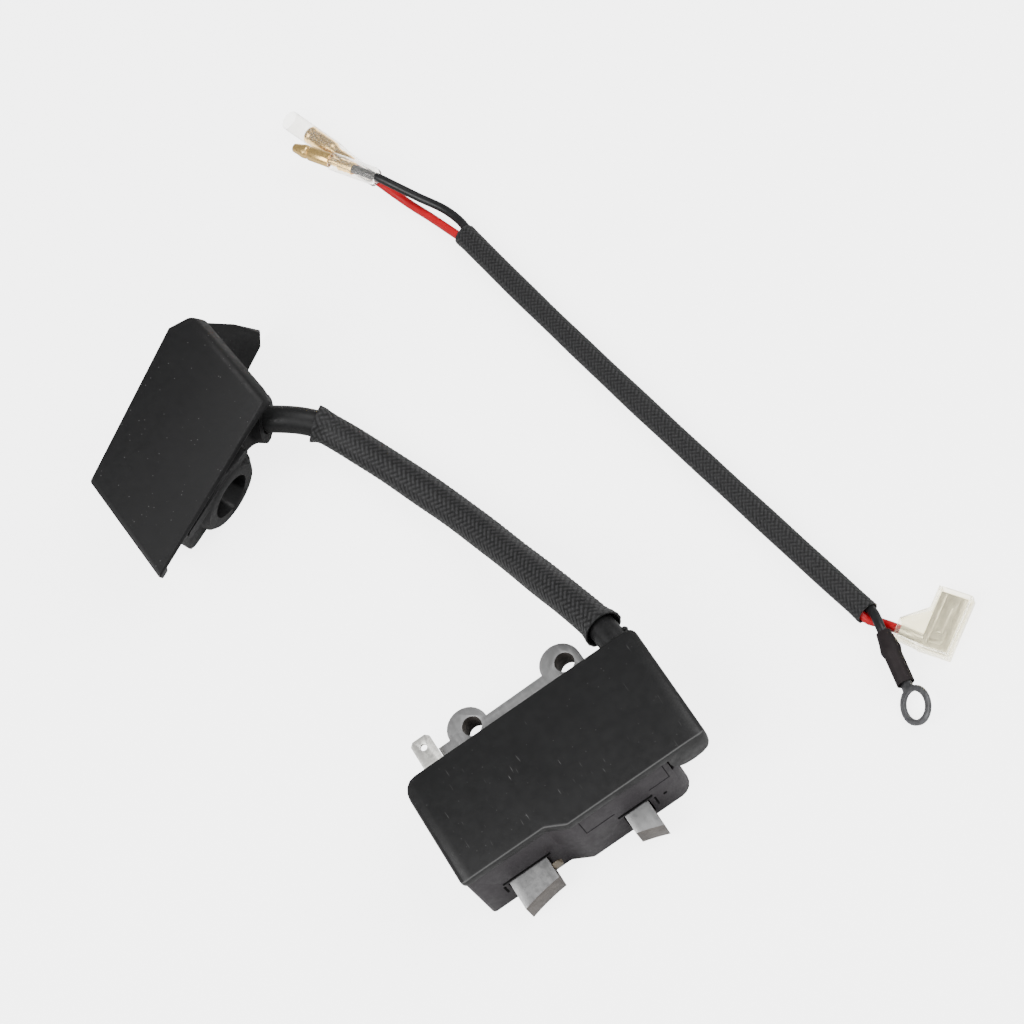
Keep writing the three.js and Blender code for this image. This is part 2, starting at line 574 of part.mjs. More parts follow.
function plugBoot(leadCurve) {
  const frame = bootFrame();
  const inFrame = (geometry) => toSolid(geometry.applyMatrix4(frame));
  const { x0, x1, y0, y1, thick } = FLANGE;
  const flangeOutline = roundedOutline([[x0, y0, 3], [x1, y0, 3], [x1, y1, 3], [x0, y1, 3]], 3);
  const ledgeOutline = roundedOutline([
    [LEDGE.x0, LEDGE.y0, 1], [LEDGE.x1, LEDGE.y0, 1], [LEDGE.x1, LEDGE.y1, 1.4], [LEDGE.x0, LEDGE.y1, 1.4],
  ], 3);
  const mouth = turned([
    [0, -MOUTH_DEPTH - OVERCUT], [MOUTH_RADIUS, -MOUTH_DEPTH - OVERCUT], [MOUTH_RADIUS, -1],
    [MOUTH_RADIUS - 1, 0], [0, 0],
  ], 28);
  const bore = turned([
    [0, -PLUG_BORE_DEPTH], [PLUG_BORE_RADIUS, -PLUG_BORE_DEPTH], [PLUG_BORE_RADIUS, OVERCUT], [0, OVERCUT],
  ], 24);
  const entry = rod(LEAD_BORE_RADIUS, PLUG_BORE_RADIUS - 1.5, PLUG_BORE_RADIUS + 1.5, 12);
  entry.rotateY(Math.PI / 2);
  entry.translate(0, 0, -ARM_DEPTH);
  return inFrame(mouth)
    .add(inFrame(prism(flangeOutline, -MOUTH_DEPTH - thick, -MOUTH_DEPTH)))
    .add(inFrame(prism(ledgeOutline, -MOUTH_DEPTH - thick / 2, LEDGE.front)))
    .add(inFrame(rod(BARREL_RADIUS, -BARREL_DEPTH, -MOUTH_DEPTH - 1, 24)))
    .add(toSolid(tube(stretch(leadCurve, ARM_START, 1, 14), ARM_RADIUS, 14, 9)))
    .subtract(toSolid(tube(stretch(leadCurve, ARM_START - 0.01, 1, 14), LEAD_BORE_RADIUS, 12, 10)))
    .subtract(inFrame(entry))
    .subtract(inFrame(bore));
}

function terminalSpring() {
  const points = [];
  const stepsPerTurn = 10;
  for (let i = 0; i <= SPRING_TURNS * stepsPerTurn; i += 1) {
    const angle = (2 * Math.PI * i) / stepsPerTurn;
    const rise = -8.6 + (4.4 * i) / (SPRING_TURNS * stepsPerTurn);
    points.push([SPRING_RADIUS * Math.cos(angle), SPRING_RADIUS * Math.sin(angle), rise]);
  }
  return tube(route(points), SPRING_WIRE, 5, SPRING_TURNS * stepsPerTurn).applyMatrix4(bootFrame());
}

function terminalContact() {
  const barb = rod(0.8, 2, BARB_REACH, 8);
  barb.rotateY(Math.PI / 2);
  barb.translate(0, 0, -ARM_DEPTH - 0.4);
  const frame = bootFrame();
  return toSolid(rod(3.4, -PLUG_BORE_DEPTH + FIT, -9.2).applyMatrix4(frame)).add(toSolid(barb.applyMatrix4(frame)));
}

// ---------------------------------------------------------------- low-tension lead pieces

/** The direction from one point to another. */
function between(from, to) {
  return to.map((value, i) => value - from[i]);
}

/** Lays a solid turned about Z on the line from one point to another. */
function onLine(geometry, from, to) {
  return geometry.applyMatrix4(frameAt(from, between(from, to), [0, 0, 1]));
}

function maleBullet() {
  const r = BULLET_RADIUS;
  return onLine(turned([
    [0, 0], [0.9, 0.1], [1.5, 1.4], [r - 0.1, 3.4], [r - 0.15, 4.6], [r - 0.35, 5], [r - 0.15, 5.4], [r, 5.8],
    [r, 12.4], [1, 12.4], [1, 15.4], [CRIMP_RADIUS, 15.8], [CRIMP_RADIUS, 20], [1.25, 20], [1.25, 16.4], [0, 16.4],
  ], 14), MALE_TIP, MALE_TAIL);
}

function femaleBullet() {
  const r = SOCKET_RADIUS;
  return onLine(turned([
    [r - 0.35, 8.2], [r, 8.2], [r, 17.4], [CRIMP_RADIUS, 18.6], [CRIMP_RADIUS, 24.6],
    [1.25, 24.6], [1.25, 19.4], [r - 0.35, 16.8],
  ], 14), FEMALE_MOUTH, FEMALE_TAIL);
}

function maleSleeve() {
  return onLine(turned([
    [2.1, 13], [2.4, 13], [2.4, 26.4], [2, 27.6], [1.45, 27.6], [1.45, 27], [2.1, 26.4],
  ], 14), MALE_TIP, MALE_TAIL);
}

function femaleSleeve() {
  return onLine(turned([
    [2.45, 0], [2.7, 0], [2.7, 17.6], [2.2, 22], [1.9, 34.4], [1.6, 34.4], [1.95, 22], [2.45, 17.6],
  ], 14), FEMALE_MOUTH, FEMALE_TAIL);
}

/** Frame of the ring terminal: origin at the ring's centre, Y back along the wire. */
function ringFrame() {
  const back = new THREE.Vector3(...between(RING_CENTRE, BLACK_ROUTE.at(-1))).normalize();
  const flat = new THREE.Vector3(0, 0, 1).applyAxisAngle(back, THREE.MathUtils.degToRad(RING_ROLL));
  const side = new THREE.Vector3().crossVectors(back, flat).normalize();
  const face = new THREE.Vector3().crossVectors(side, back);
  return new THREE.Matrix4().makeBasis(side, back, face).setPosition(...RING_CENTRE);
}

/** Length of the ring terminal from the ring's centre to the wire's end. */
const RING_REACH = new THREE.Vector3(...between(RING_CENTRE, BLACK_ROUTE.at(-1))).length();

/** Turns a solid turned about Z so that it lies along the ring terminal's Y. */
function alongRing(geometry) {
  geometry.rotateX(-Math.PI / 2);
  return geometry.applyMatrix4(ringFrame());
}

function ringTerminal() {
  const half = RING_THICK / 2;
  const plate = prism(circle(0, 0, RING_RADIUS, 24), -half, half).applyMatrix4(ringFrame());
  const neckOutline = roundedOutline([[-1.6, 3.6, 0], [1.6, 3.6, 0], [1.4, 8.2, 0], [-1.4, 8.2, 0]]);
  const neck = prism(neckOutline, NECK_STEP - half, half - NECK_STEP);
  const hole = prism(circle(0, 0, RING_HOLE_RADIUS, 20), -OVERCUT, OVERCUT).applyMatrix4(ringFrame());
  const barrel = turned([
    [0, 7.6], [CRIMP_RADIUS, 7.6], [CRIMP_RADIUS, RING_REACH - 2.8], [1, RING_REACH - 2.8], [1, 9.4], [0, 9.4],
  ], 12);
  return toSolid(plate)
    .add(toSolid(neck.applyMatrix4(ringFrame())))
    .add(toSolid(alongRing(barrel)))
    .subtract(toSolid(hole));
}

function ringHeatShrink() {
  const inner = CRIMP_RADIUS + 0.15;
  return alongRing(turned([
    [inner, 5.6], [inner + 0.35, 5.6], [inner + 0.35, RING_REACH - 5], [inner + 0.75, RING_REACH - 3.4],
    [inner + 0.35, RING_REACH - 1.6], [WIRE_RADIUS + 0.6, RING_REACH + 1.2], [WIRE_RADIUS + 0.25, RING_REACH + 1.2],
    [inner, RING_REACH - 1.6],
  ], 12));
}

/** Frame of the flag terminal: X along the receptacle, Y towards the wire side. */
function flagFrame() {
  const turn = THREE.MathUtils.degToRad(FLAG_TURN);
  return new THREE.Matrix4().makeRotationZ(turn).setPosition(...FLAG_CENTRE);
}

function flagTerminal() {
  const { length, width, height, metal } = FLAG;
  const half = length / 2;
  const shell = box(-half, half, -width / 2, width / 2, -height / 2, height / 2)
    .subtract(box(-half - OVERCUT, half + OVERCUT, metal - width / 2, width / 2 - metal, metal - height / 2,
      height / 2 - metal));
  const barrel = rod(FLAG.crimpRadius, 0, 5.8, 12);
  const wireBore = rod(FLAG.crimpRadius - 0.25, 1.6, 8, 12);
  [barrel, wireBore].forEach((geometry) => {
    geometry.rotateX(-Math.PI / 2);
    geometry.rotateZ(THREE.MathUtils.degToRad(-6));
    geometry.translate(-half + 1.3, width / 2 - 0.3, 0);
  });
  return shell.add(toSolid(barrel)).subtract(toSolid(wireBore)).transform(flagFrame().elements);
}

function flagInsulator() {
  const { length, width, height } = FLAG;
  const gap = FIT;
  const wall = INSULATOR_WALL;
  const half = length / 2;
  const outer = box(-half - gap - wall, half + 1, -width / 2 - gap - wall, width / 2 + gap + wall,
    -height / 2 - gap - wall, height / 2 + gap + wall);
  const inner = box(-half - gap, half + 3, -width / 2 - gap, width / 2 + gap, -height / 2 - gap, height / 2 + gap);
  const funnel = (grow, from, to) => {
    const y0 = width / 2 + from;
    const corners = [
      [-half - gap - grow, y0], [3 + grow, y0], [-3.1 + grow, y0 + to], [-half + 0.5 - grow, y0 + to],
    ];
    const rise = height / 2 + gap + grow;
    return toSolid(prism(corners.map(([x, y]) => new THREE.Vector2(x, y)), -rise, rise));
  };
  return outer.add(funnel(wall, -1, 7.4)).subtract(inner).subtract(funnel(0, -2, 9.2))
    .transform(flagFrame().elements);
}

// ---------------------------------------------------------------- assembly

addPiece('core_stack', coreStack(), 'steel');
RIVET_SPOTS.forEach((spot, i) => addPiece(`core_rivet_${i + 1}`, coreRivet(spot), 'steel'));
addPiece('housing_top', housingTop(), 'housing');
addPiece('housing_body', housingBody(), 'moulding');
addPiece('spade_tab', spadeTab(), 'tin');
addPiece('charge_bobbin', legBobbin(LEG_LEFT), 'nylon');
addPiece('charge_winding', legWinding(LEG_LEFT), 'copper');
addPiece('trigger_bobbin', legBobbin(LEG_RIGHT), 'nylon');
addPiece('trigger_winding', legWinding(LEG_RIGHT), 'copper');
addTransformer();
addPiece('high_tension_pin', highTensionPin(), 'brass');
addCircuit();

const leadCurve = route(LEAD_ROUTE);
addPiece('ht_lead', tube(leadCurve, LEAD_RADIUS, 10, 44), 'rubber');
addPiece('lead_braid', tube(stretch(leadCurve, BRAID_START, BRAID_END, 24), BRAID_RADIUS, 10, 26,
  BRAID_BORE_RADIUS), 'braid');
addPiece('plug_cover', plugCover(), 'housing');
addPiece('plug_boot', plugBoot(leadCurve), 'rubber');
addPiece('terminal_spring', terminalSpring(), 'steel');
addPiece('terminal_contact', terminalContact(), 'brass');

addPiece('harness_braid', tube(route(HARNESS_ROUTE), HARNESS_RADIUS, 10, 20, HARNESS_BORE_RADIUS), 'braid');
addPiece('black_wire', tube(route(BLACK_ROUTE), WIRE_RADIUS, 8, 60), 'rubber');
addPiece('red_wire', tube(route(RED_ROUTE), WIRE_RADIUS, 8, 60), 'red');
addPiece('male_bullet', maleBullet(), 'brass');
addPiece('male_bullet_sleeve', maleSleeve(), 'clear');
addPiece('female_bullet', femaleBullet(), 'brass');
addPiece('female_bullet_sleeve', femaleSleeve(), 'clear');
addPiece('ring_terminal', ringTerminal(), 'tin');
addPiece('ring_heat_shrink', ringHeatShrink(), 'rubber');
addPiece('flag_terminal', flagTerminal(), 'tin');
addPiece('flag_insulator', flagInsulator(), 'clear');

export default coil;
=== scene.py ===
"""Ignition coil with its plug lead, plug cap and loose stop lead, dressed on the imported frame."""

import logging
import math
from collections.abc import Callable, Iterator, Sequence
from contextlib import contextmanager
from dataclasses import dataclass
from enum import Enum

import bmesh
import bpy
import numpy as np
from mathutils import Matrix, Vector


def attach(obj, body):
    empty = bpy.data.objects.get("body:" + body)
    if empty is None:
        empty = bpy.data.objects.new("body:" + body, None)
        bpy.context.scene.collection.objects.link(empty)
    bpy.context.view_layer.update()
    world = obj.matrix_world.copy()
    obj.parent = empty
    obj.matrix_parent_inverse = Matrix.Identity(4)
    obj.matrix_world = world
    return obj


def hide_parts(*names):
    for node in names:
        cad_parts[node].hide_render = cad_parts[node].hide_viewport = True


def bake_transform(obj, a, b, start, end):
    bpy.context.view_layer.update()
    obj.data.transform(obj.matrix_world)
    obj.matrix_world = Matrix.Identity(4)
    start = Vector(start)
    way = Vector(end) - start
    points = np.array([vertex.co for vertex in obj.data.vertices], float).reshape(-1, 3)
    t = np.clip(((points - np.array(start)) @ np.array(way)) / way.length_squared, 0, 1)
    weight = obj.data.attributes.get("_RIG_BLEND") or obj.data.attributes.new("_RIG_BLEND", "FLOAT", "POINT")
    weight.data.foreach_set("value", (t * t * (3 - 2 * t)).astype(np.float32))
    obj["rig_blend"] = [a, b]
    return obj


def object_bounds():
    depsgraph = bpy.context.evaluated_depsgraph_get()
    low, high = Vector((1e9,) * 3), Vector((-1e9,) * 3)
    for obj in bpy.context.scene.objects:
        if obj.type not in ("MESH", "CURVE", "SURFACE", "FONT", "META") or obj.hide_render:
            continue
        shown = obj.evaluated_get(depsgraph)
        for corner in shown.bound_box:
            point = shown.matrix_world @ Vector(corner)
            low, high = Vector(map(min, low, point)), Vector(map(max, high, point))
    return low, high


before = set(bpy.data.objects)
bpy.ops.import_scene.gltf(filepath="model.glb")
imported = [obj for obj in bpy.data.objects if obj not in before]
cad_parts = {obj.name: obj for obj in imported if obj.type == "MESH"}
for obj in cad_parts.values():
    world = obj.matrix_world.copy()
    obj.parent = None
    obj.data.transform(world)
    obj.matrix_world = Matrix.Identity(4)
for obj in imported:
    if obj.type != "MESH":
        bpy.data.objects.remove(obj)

log = logging.getLogger("ignition_coil")

MM = 0.001
CAD_BOX = [list(corner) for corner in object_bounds()]
FLOOR_Z = CAD_BOX[0][2] - 0.02 * MM

Point = Sequence[float]
Colour = tuple[float, float, float]
Material = bpy.types.Material
Piece = bpy.types.Object
Socket = bpy.types.NodeSocket


# -------- routes of the cords, in millimetres
def metres(*points: Point) -> list[Point]:
    """Turns points in millimetres into metres."""
    return [tuple(round(v * MM, 8) for v in point) for point in points]


LEAD_ROUTE = metres(
    (25.2, -20.5, 17.4), (25.2, -15, 17.4), (25.2, -9.9, 17.4), (25, -4.8, 17.2),
    (24.2, -0.2, 16.4), (22.3, 8.8, 14), (20, 18.9, 10.6), (17.1, 31.5, 6.8), (14.2, 43.3, 4),
    (11.2, 54.1, 2.4), (8, 64, 1.8), (4.7, 73.5, 1.8), (1.4, 82.2, 2.1), (-1.8, 89.6, 3.6),
    (-4.6, 94.4, 5.8), (-7.9, 97.5, 7.6), (-11.2, 99.9, 8.8), (-14.9, 102.6, 9.4),
    (-17.6, 104.6, 9.7), (-20.8, 105.5, 9.72), (-24, 105.2, 9.72), (-26.62, 104.15, 9.72),
    (-28.9, 103.03, 9.72), (-30.67, 102.18, 9.72),
)
HARNESS_ROUTE = metres(
    (53.6, 121, 0.5), (56.6, 97.6, 0.5), (60.8, 68.4, 0.5), (65.1, 40.6, 0.5), (69.4, 14, 0.5),
    (73.6, -11.5, 0.5), (76.9, -30.7, 0.5),
)
BLACK_ROUTE = metres(
    (38.45, 158.65, 4.6), (41.2, 153.7, 4.6), (43.95, 148.75, 4.6), (46, 144.7, 3.9),
    (49.6, 138.2, 1.8), (53.2, 131.2, 0.7), (54.7, 125.5, 0.5), (55, 120.3, 0.5),
    (55.7, 114.5, 0.5), (57.9, 97.8, 0.5), (62, 68.6, 0.5), (66.3, 40.8, 0.5), (70.6, 14.2, 0.5),
    (74.8, -11.3, 0.5), (77.7, -28.4, 0.6), (77.9, -32, 1.6), (77.1, -36, 2.2), (76.6, -38.6, 1.9),
)
RED_ROUTE = metres(
    (39.18, 166.2, 0.08), (41.4, 158.5, 0.04), (43.48, 151.25, 0), (44.9, 146.3, -0.4),
    (46.9, 140, -1.2), (49.2, 132.8, -1), (51.2, 125.1, 0.2), (52.4, 120.6, 0.5),
    (53.2, 114.5, 0.5), (55.4, 97.4, 0.5), (59.6, 68.2, 0.5), (63.9, 40.4, 0.5), (68.2, 13.8, 0.5),
    (72.4, -11.7, 0.5), (75.3, -28.6, 0.4), (76.4, -32, -0.8), (77.6, -33.2, -1.2),
    (78.85, -35.3, -0.7), (79.75, -37, -0.3), (80.65, -38.74, -0.25), (82.4, -42.15, -0.25),
)
LEAD_RADIUS = 3.5 * MM
WIRE_RADIUS = 1.15 * MM
LEAD_CARRIERS, STOP_CARRIERS = 16, 14
MALE_TIP, MALE_TAIL = metres((30.3, 173.3, 4.6), (43.7, 149.2, 4.6))
FEMALE_MOUTH, FEMALE_TAIL = metres((33.7, 185.3, 0.2), (43.2, 152.2, 0))


# -------- turned profiles: radius and height in mm
BULLET_RADIUS, BULLET_NECK = 1.95, 1.83
BULLET_PROFILE: list[Point] = [
    (0, 0), (0.85, 0.02), (1.15, 0.25), (1.3, 0.8), (1.55, 2.2), (BULLET_NECK, 3.3), (1.87, 3.7),
    (BULLET_NECK, 4.5), (1.55, 4.8), (1.55, 5.2), (BULLET_NECK, 5.5), (BULLET_RADIUS, 5.8),
    (BULLET_RADIUS, 12.2), (1.85, 12.4), (1.55, 12.4), (1.5, 11.6), (1.05, 11.6), (1.05, 15.4), (1.6, 15.6),
    (1.65, 15.9), (1.5, 17.0), (1.62, 17.6), (1.5, 18.4), (1.65, 19.8), (1.6, 20), (1.22, 20), (1.22, 16.4),
    (0, 16.4),
]
SOCKET_RADIUS, SOCKET_GROOVE = 2.35, 2.23
SOCKET_PROFILE: list[Point] = [
    (2.05, 8.2), (2.3, 8.25), (SOCKET_RADIUS, 8.5), (SOCKET_RADIUS, 9.4), (SOCKET_GROOVE, 9.7),
    (SOCKET_GROOVE, 10.2), (SOCKET_RADIUS, 10.5), (SOCKET_RADIUS, 17.2), (2.15, 17.7), (1.65, 18.7),
    (1.5, 20.5), (1.66, 21.2), (1.5, 22), (1.65, 23.5), (1.6, 24.6), (1.22, 24.6), (1.22, 19.4), (2.0, 16.9),
]
SLID_SLEEVE_PROFILE: list[Point] = [
    (2.1, 13.1), (2.15, 13), (2.38, 13), (2.42, 13.1), (2.4, 19), (2.38, 26.2), (2.2, 27.0), (1.95, 27.6),
    (1.5, 27.6), (1.45, 27.4), (1.6, 27.1), (2.1, 26.2),
]
LONG_SLEEVE_PROFILE: list[Point] = [
    (2.45, 0.1), (2.5, 0), (2.66, 0), (2.7, 0.1), (2.7, 8), (2.72, 13), (2.68, 17.4), (2.45, 19.6),
    (2.2, 22), (2.05, 28), (1.9, 34.3), (1.85, 34.4), (1.65, 34.4), (1.6, 34.3), (1.75, 28), (1.95, 22),
    (2.2, 19.6), (2.45, 17.4),
]


class Body(Enum):
    """The rigid bodies of the frame."""

    ROOT = "root"
    CAP = "plug_cap"
    STOP_LEAD = "stop_lead"
    MALE_SLEEVE = "male_sleeve"
    FEMALE_SLEEVE = "female_sleeve"


# -------- material recipes
def shade(colour: Colour, factor: float, lift: float = 0.0) -> Colour:
    """A colour times a factor plus a lift, no brighter than white."""
    return tuple(min(c * factor + lift, 1.0) for c in colour)


class Recipe:
    """A node tree round one Principled shader, with short calls for the nodes that the finishes share."""

    def __init__(self, name: str, colour: Colour, roughness: float, metallic: float = 0.0,
                 gloss: float = 0.5) -> None:
        """Starts a material with one even colour, roughness, metallic value and specular level."""
        self.material = bpy.data.materials.new(name)
        self.material.use_nodes = True
        self.tree = self.material.node_tree
        self.shader = self.tree.nodes["Principled BSDF"]
        self.shader.inputs["Base Color"].default_value = (*colour, 1.0)
        self.shader.inputs["Roughness"].default_value = roughness
        self.shader.inputs["Metallic"].default_value = metallic
        self.shader.inputs["Specular IOR Level"].default_value = gloss
        self.height: Socket | None = None

    def node(self, kind: str, **inputs: object) -> bpy.types.Node:
        """Adds a node and links or sets its inputs.

        Args:
            kind: the node's type, without the ShaderNode prefix.
            inputs: input names with _ for spaces, or i and a number, each a socket to link or a value.

        Returns:
            The new node.
        """
        made = self.tree.nodes.new("ShaderNode" + kind)
        for key, value in inputs.items():
            numbered = key[0] == "i" and key[1:].isdigit()
            socket = made.inputs[int(key[1:]) if numbered else key.replace("_", " ")]
            if isinstance(value, Socket):
                self.tree.links.new(value, socket)
            else:
                socket.default_value = value
        return made

    def place(self, scale: Point = (1, 1, 1), turn: Point = (0, 0, 0)) -> Socket:
        """Object coordinates in millimetres, stretched and turned."""
        coords = self.node("TexCoord").outputs["Object"]
        size = tuple(1000.0 * s for s in scale)
        return self.node("Mapping", Vector=coords, Scale=size, Rotation=turn).outputs["Vector"]

    def noise(self, scale: float, detail: float = 3.0, vector: Socket | None = None,
              rough: float = 0.5) -> Socket:
        """Smooth noise whose scale is in features per millimetre."""
        source = vector if vector is not None else self.place()
        made = self.node("TexNoise", Vector=source, Scale=scale, Detail=detail, Roughness=rough)
        return made.outputs["Fac"]

    def ramp(self, factor: Socket, low: float, high: float, start: float = 0.0,
             end: float = 1.0) -> Socket:
        """Maps a factor between two values onto a clamped range."""
        made = self.node("MapRange", Value=factor)
        for key, value in (("From Min", low), ("From Max", high), ("To Min", start), ("To Max", end)):
            made.inputs[key].default_value = value
        return made.outputs["Result"]

    def math(self, operation: str, a: object, b: object = 0.0) -> Socket:
        """One arithmetic step on sockets or numbers."""
        made = self.node("Math", i0=a, i1=b)
        made.operation = operation
        return made.outputs["Value"]

    def mix(self, factor: Socket, a: object, b: object) -> Socket:
        """Blends two colours, each a socket or three numbers."""
        made = self.tree.nodes.new("ShaderNodeMix")
        made.data_type = "RGBA"
        self.tree.links.new(factor, made.inputs[0])
        for socket, value in ((made.inputs[6], a), (made.inputs[7], b)):
            if isinstance(value, Socket):
                self.tree.links.new(value, socket)
            else:
                socket.default_value = (*value, 1.0)
        return made.outputs[2]

    def paint(self, socket: Socket) -> None:
        """Drives the base colour."""
        self.tree.links.new(socket, self.shader.inputs["Base Color"])

    def rough(self, socket: Socket) -> None:
        """Drives the roughness."""
        self.tree.links.new(socket, self.shader.inputs["Roughness"])

    def relief(self, height: Socket, depth_mm: float) -> None:
        """Adds a bump whose full height is depth_mm, on top of any earlier one."""
        bump = self.node("Bump", Height=height, Strength=1.0, Distance=depth_mm * MM)
        if self.height is not None:
            self.tree.links.new(self.height, bump.inputs["Normal"])
        self.height = bump.outputs["Normal"]
        self.tree.links.new(self.height, self.shader.inputs["Normal"])


# Each layer of scratches: its turn in radians, its stretch along the scratch and its shift.
SCRATCH_LAYERS = ((0.55, 0.09, 0.0), (-0.9, 0.12, 7.0), (1.35, 0.07, 13.0), (0.2, 0.1, 19.0))


@dataclass(frozen=True)
class MouldedPlastic:
    """Moulded plastic with a fine grain, faint scratches and dust, and where set a painted highlight and
    painted shade along the front lip.
    """

    name: str
    colour: Colour
    # worn: the colour of the scratches, and also of the painted highlight along the front lip.
    wear_and_highlight: Colour
    roughness: float = 0.42
    grain_mm: float = 0.012
    scratches: float = 0.6
    dust: float = 0.5
    gloss: float = 0.22
    # lip: strength of the painted highlight along the front lip; above 0 it also paints shade on the band
    # below.
    painted_lip_light: float = 0.0

    def scratch_marks(self, r: Recipe) -> Socket:
        """Fine scratches in four directions, each kept to a few patches."""
        marks = None
        for turn, stretch, shift in SCRATCH_LAYERS:
            line = r.place((1.0, stretch, 1.0), (0, 0, turn))
            moved = r.node("VectorMath", i0=line, i1=(shift, shift, shift)).outputs["Vector"]
            streak = r.ramp(r.noise(1.9, 2, moved, 0.4), 0.735, 0.8)
            patch = r.ramp(r.noise(0.07, 2, r.place((1, 1, 1), (0, 0, shift))), 0.5, 0.62)
            one = r.math("MULTIPLY", streak, patch)
            marks = one if marks is None else r.math("MAXIMUM", marks, one)
        return r.math("MULTIPLY", marks, self.scratches)

    def paint_lip_light_and_shade(self, r: Recipe, colour: Socket) -> Socket:
        """Paints a highlight line along the front's rounded edge, over a band of painted shade below it."""
        normal = r.node("SeparateXYZ", Vector=r.node("NewGeometry").outputs["Normal"])
        up, front = normal.outputs["Z"], r.ramp(normal.outputs["Y"], -0.25, -0.45)
        # line: a painted highlight along the rounded front edge, in the wear colour.
        line = r.math("MULTIPLY", r.ramp(up, 0.3, 0.5), r.ramp(up, 0.93, 0.8))
        colour = r.mix(r.math("MULTIPLY", r.math("MULTIPLY", line, front), self.painted_lip_light), colour, self.wear_and_highlight)
        # under: painted shade on the forward-facing band below the edge.
        under = r.math("MULTIPLY", r.ramp(up, 0.3, 0.1), r.ramp(normal.outputs["Y"], -0.5, -0.8))
        return r.mix(under, colour, shade(self.colour, 0.3))

    def material(self) -> Material:
        """Builds the finish."""
        r = Recipe(self.name, self.colour, self.roughness, gloss=self.gloss)
        cloud = r.noise(0.09, 4)
        colour = r.mix(r.ramp(cloud, 0.3, 0.75), self.colour, shade(self.colour, 1.12, 0.0006))
        marks = self.scratch_marks(r)
        colour = r.mix(marks, colour, self.wear_and_highlight)
        # Painted highlight and painted shade along the front lip.
        if self.painted_lip_light > 0:
            colour = self.paint_lip_light_and_shade(r, colour)
        specks = r.node("TexVoronoi", Vector=r.place(), Scale=0.55).outputs["Distance"]
        dots = r.math("MULTIPLY", r.ramp(specks, 0.085, 0.05), self.dust)
        r.paint(r.mix(dots, colour, shade(self.colour, 4, 0.05)))
        r.rough(r.ramp(r.noise(0.6, 4), 0.3, 0.7, self.roughness - 0.05, self.roughness + 0.08))
        r.relief(r.noise(7.0, 2), self.grain_mm)
        r.relief(marks, -0.02)
        return r.material


@dataclass(frozen=True)
class SoftRubber:
    """Matte rubber or a wire's insulation, with a dull bloom."""

    name: str
    colour: Colour
    roughness: float = 0.55
    bloom: float = 1.3
    gloss: float = 0.25

    def material(self) -> Material:
        """Builds the finish."""
        r = Recipe(self.name, self.colour, self.roughness, gloss=self.gloss)
        r.paint(r.mix(r.ramp(r.noise(0.35, 5), 0.35, 0.7), self.colour,
                      shade(self.colour, self.bloom, 0.002)))
        r.rough(r.ramp(r.noise(1.4, 3), 0.3, 0.7, self.roughness - 0.07, self.roughness + 0.1))
        r.relief(r.noise(4.0, 3), 0.012)
        return r.material


@dataclass(frozen=True)
class WovenSleeve:
    """Braided yarn: the weave's rise comes from the mesh, with fine filaments along each yarn, painted shade
    in the weave's low parts and a painted highlight on its crests.
    """

    name: str
    yarn: Colour
    # gap: the dark colour painted into the weave's low parts as shade.
    gap: Colour
    carriers: int

    def material(self) -> Material:
        """Builds the finish."""
        r = Recipe(self.name, self.yarn, 0.5, gloss=0.25)
        rise = r.node("Attribute").outputs["Fac"]
        rise.node.attribute_name = "rise"
        uv = r.node("SeparateXYZ", Vector=r.node("TexCoord").outputs["UV"])
        around = r.math("MULTIPLY", uv.outputs["X"], float(self.carriers * 5))
        along = r.math("MULTIPLY", uv.outputs["Y"], float(self.carriers * 5))
        left = r.math("SINE", r.math("MULTIPLY", r.math("ADD", around, along), 2 * math.pi))
        right = r.math("SINE", r.math("MULTIPLY", r.math("SUBTRACT", around, along), 2 * math.pi))
        turn = r.node("Attribute").outputs["Fac"]
        turn.node.attribute_name = "lay"
        strand = r.node("Mix", i0=turn, i2=left, i3=right).outputs[0]
        filament = r.ramp(strand, -1.0, 1.0)
        # The low parts of the weave are painted darker: painted shade.
        body = r.mix(r.ramp(rise, 0.25, 0.95), self.gap, self.yarn)
        # glint and lit: a painted highlight along the filaments on the yarn crests.
        glint = r.math("MULTIPLY", r.ramp(filament, 0.6, 1.0), r.ramp(rise, 0.6, 1.0, 0.0, 0.85))
        lit = r.mix(glint, body, shade(self.yarn, 5.5, 0.03))
        fluff = r.math("MULTIPLY", r.ramp(r.noise(2.6, 3), 0.66, 0.74), 0.35)
        r.paint(r.mix(fluff, lit, shade(self.yarn, 5, 0.03)))
        r.relief(filament, 0.03)
        r.shader.inputs["Sheen Weight"].default_value = 0.12
        r.shader.inputs["Sheen Roughness"].default_value = 0.4
        return r.material


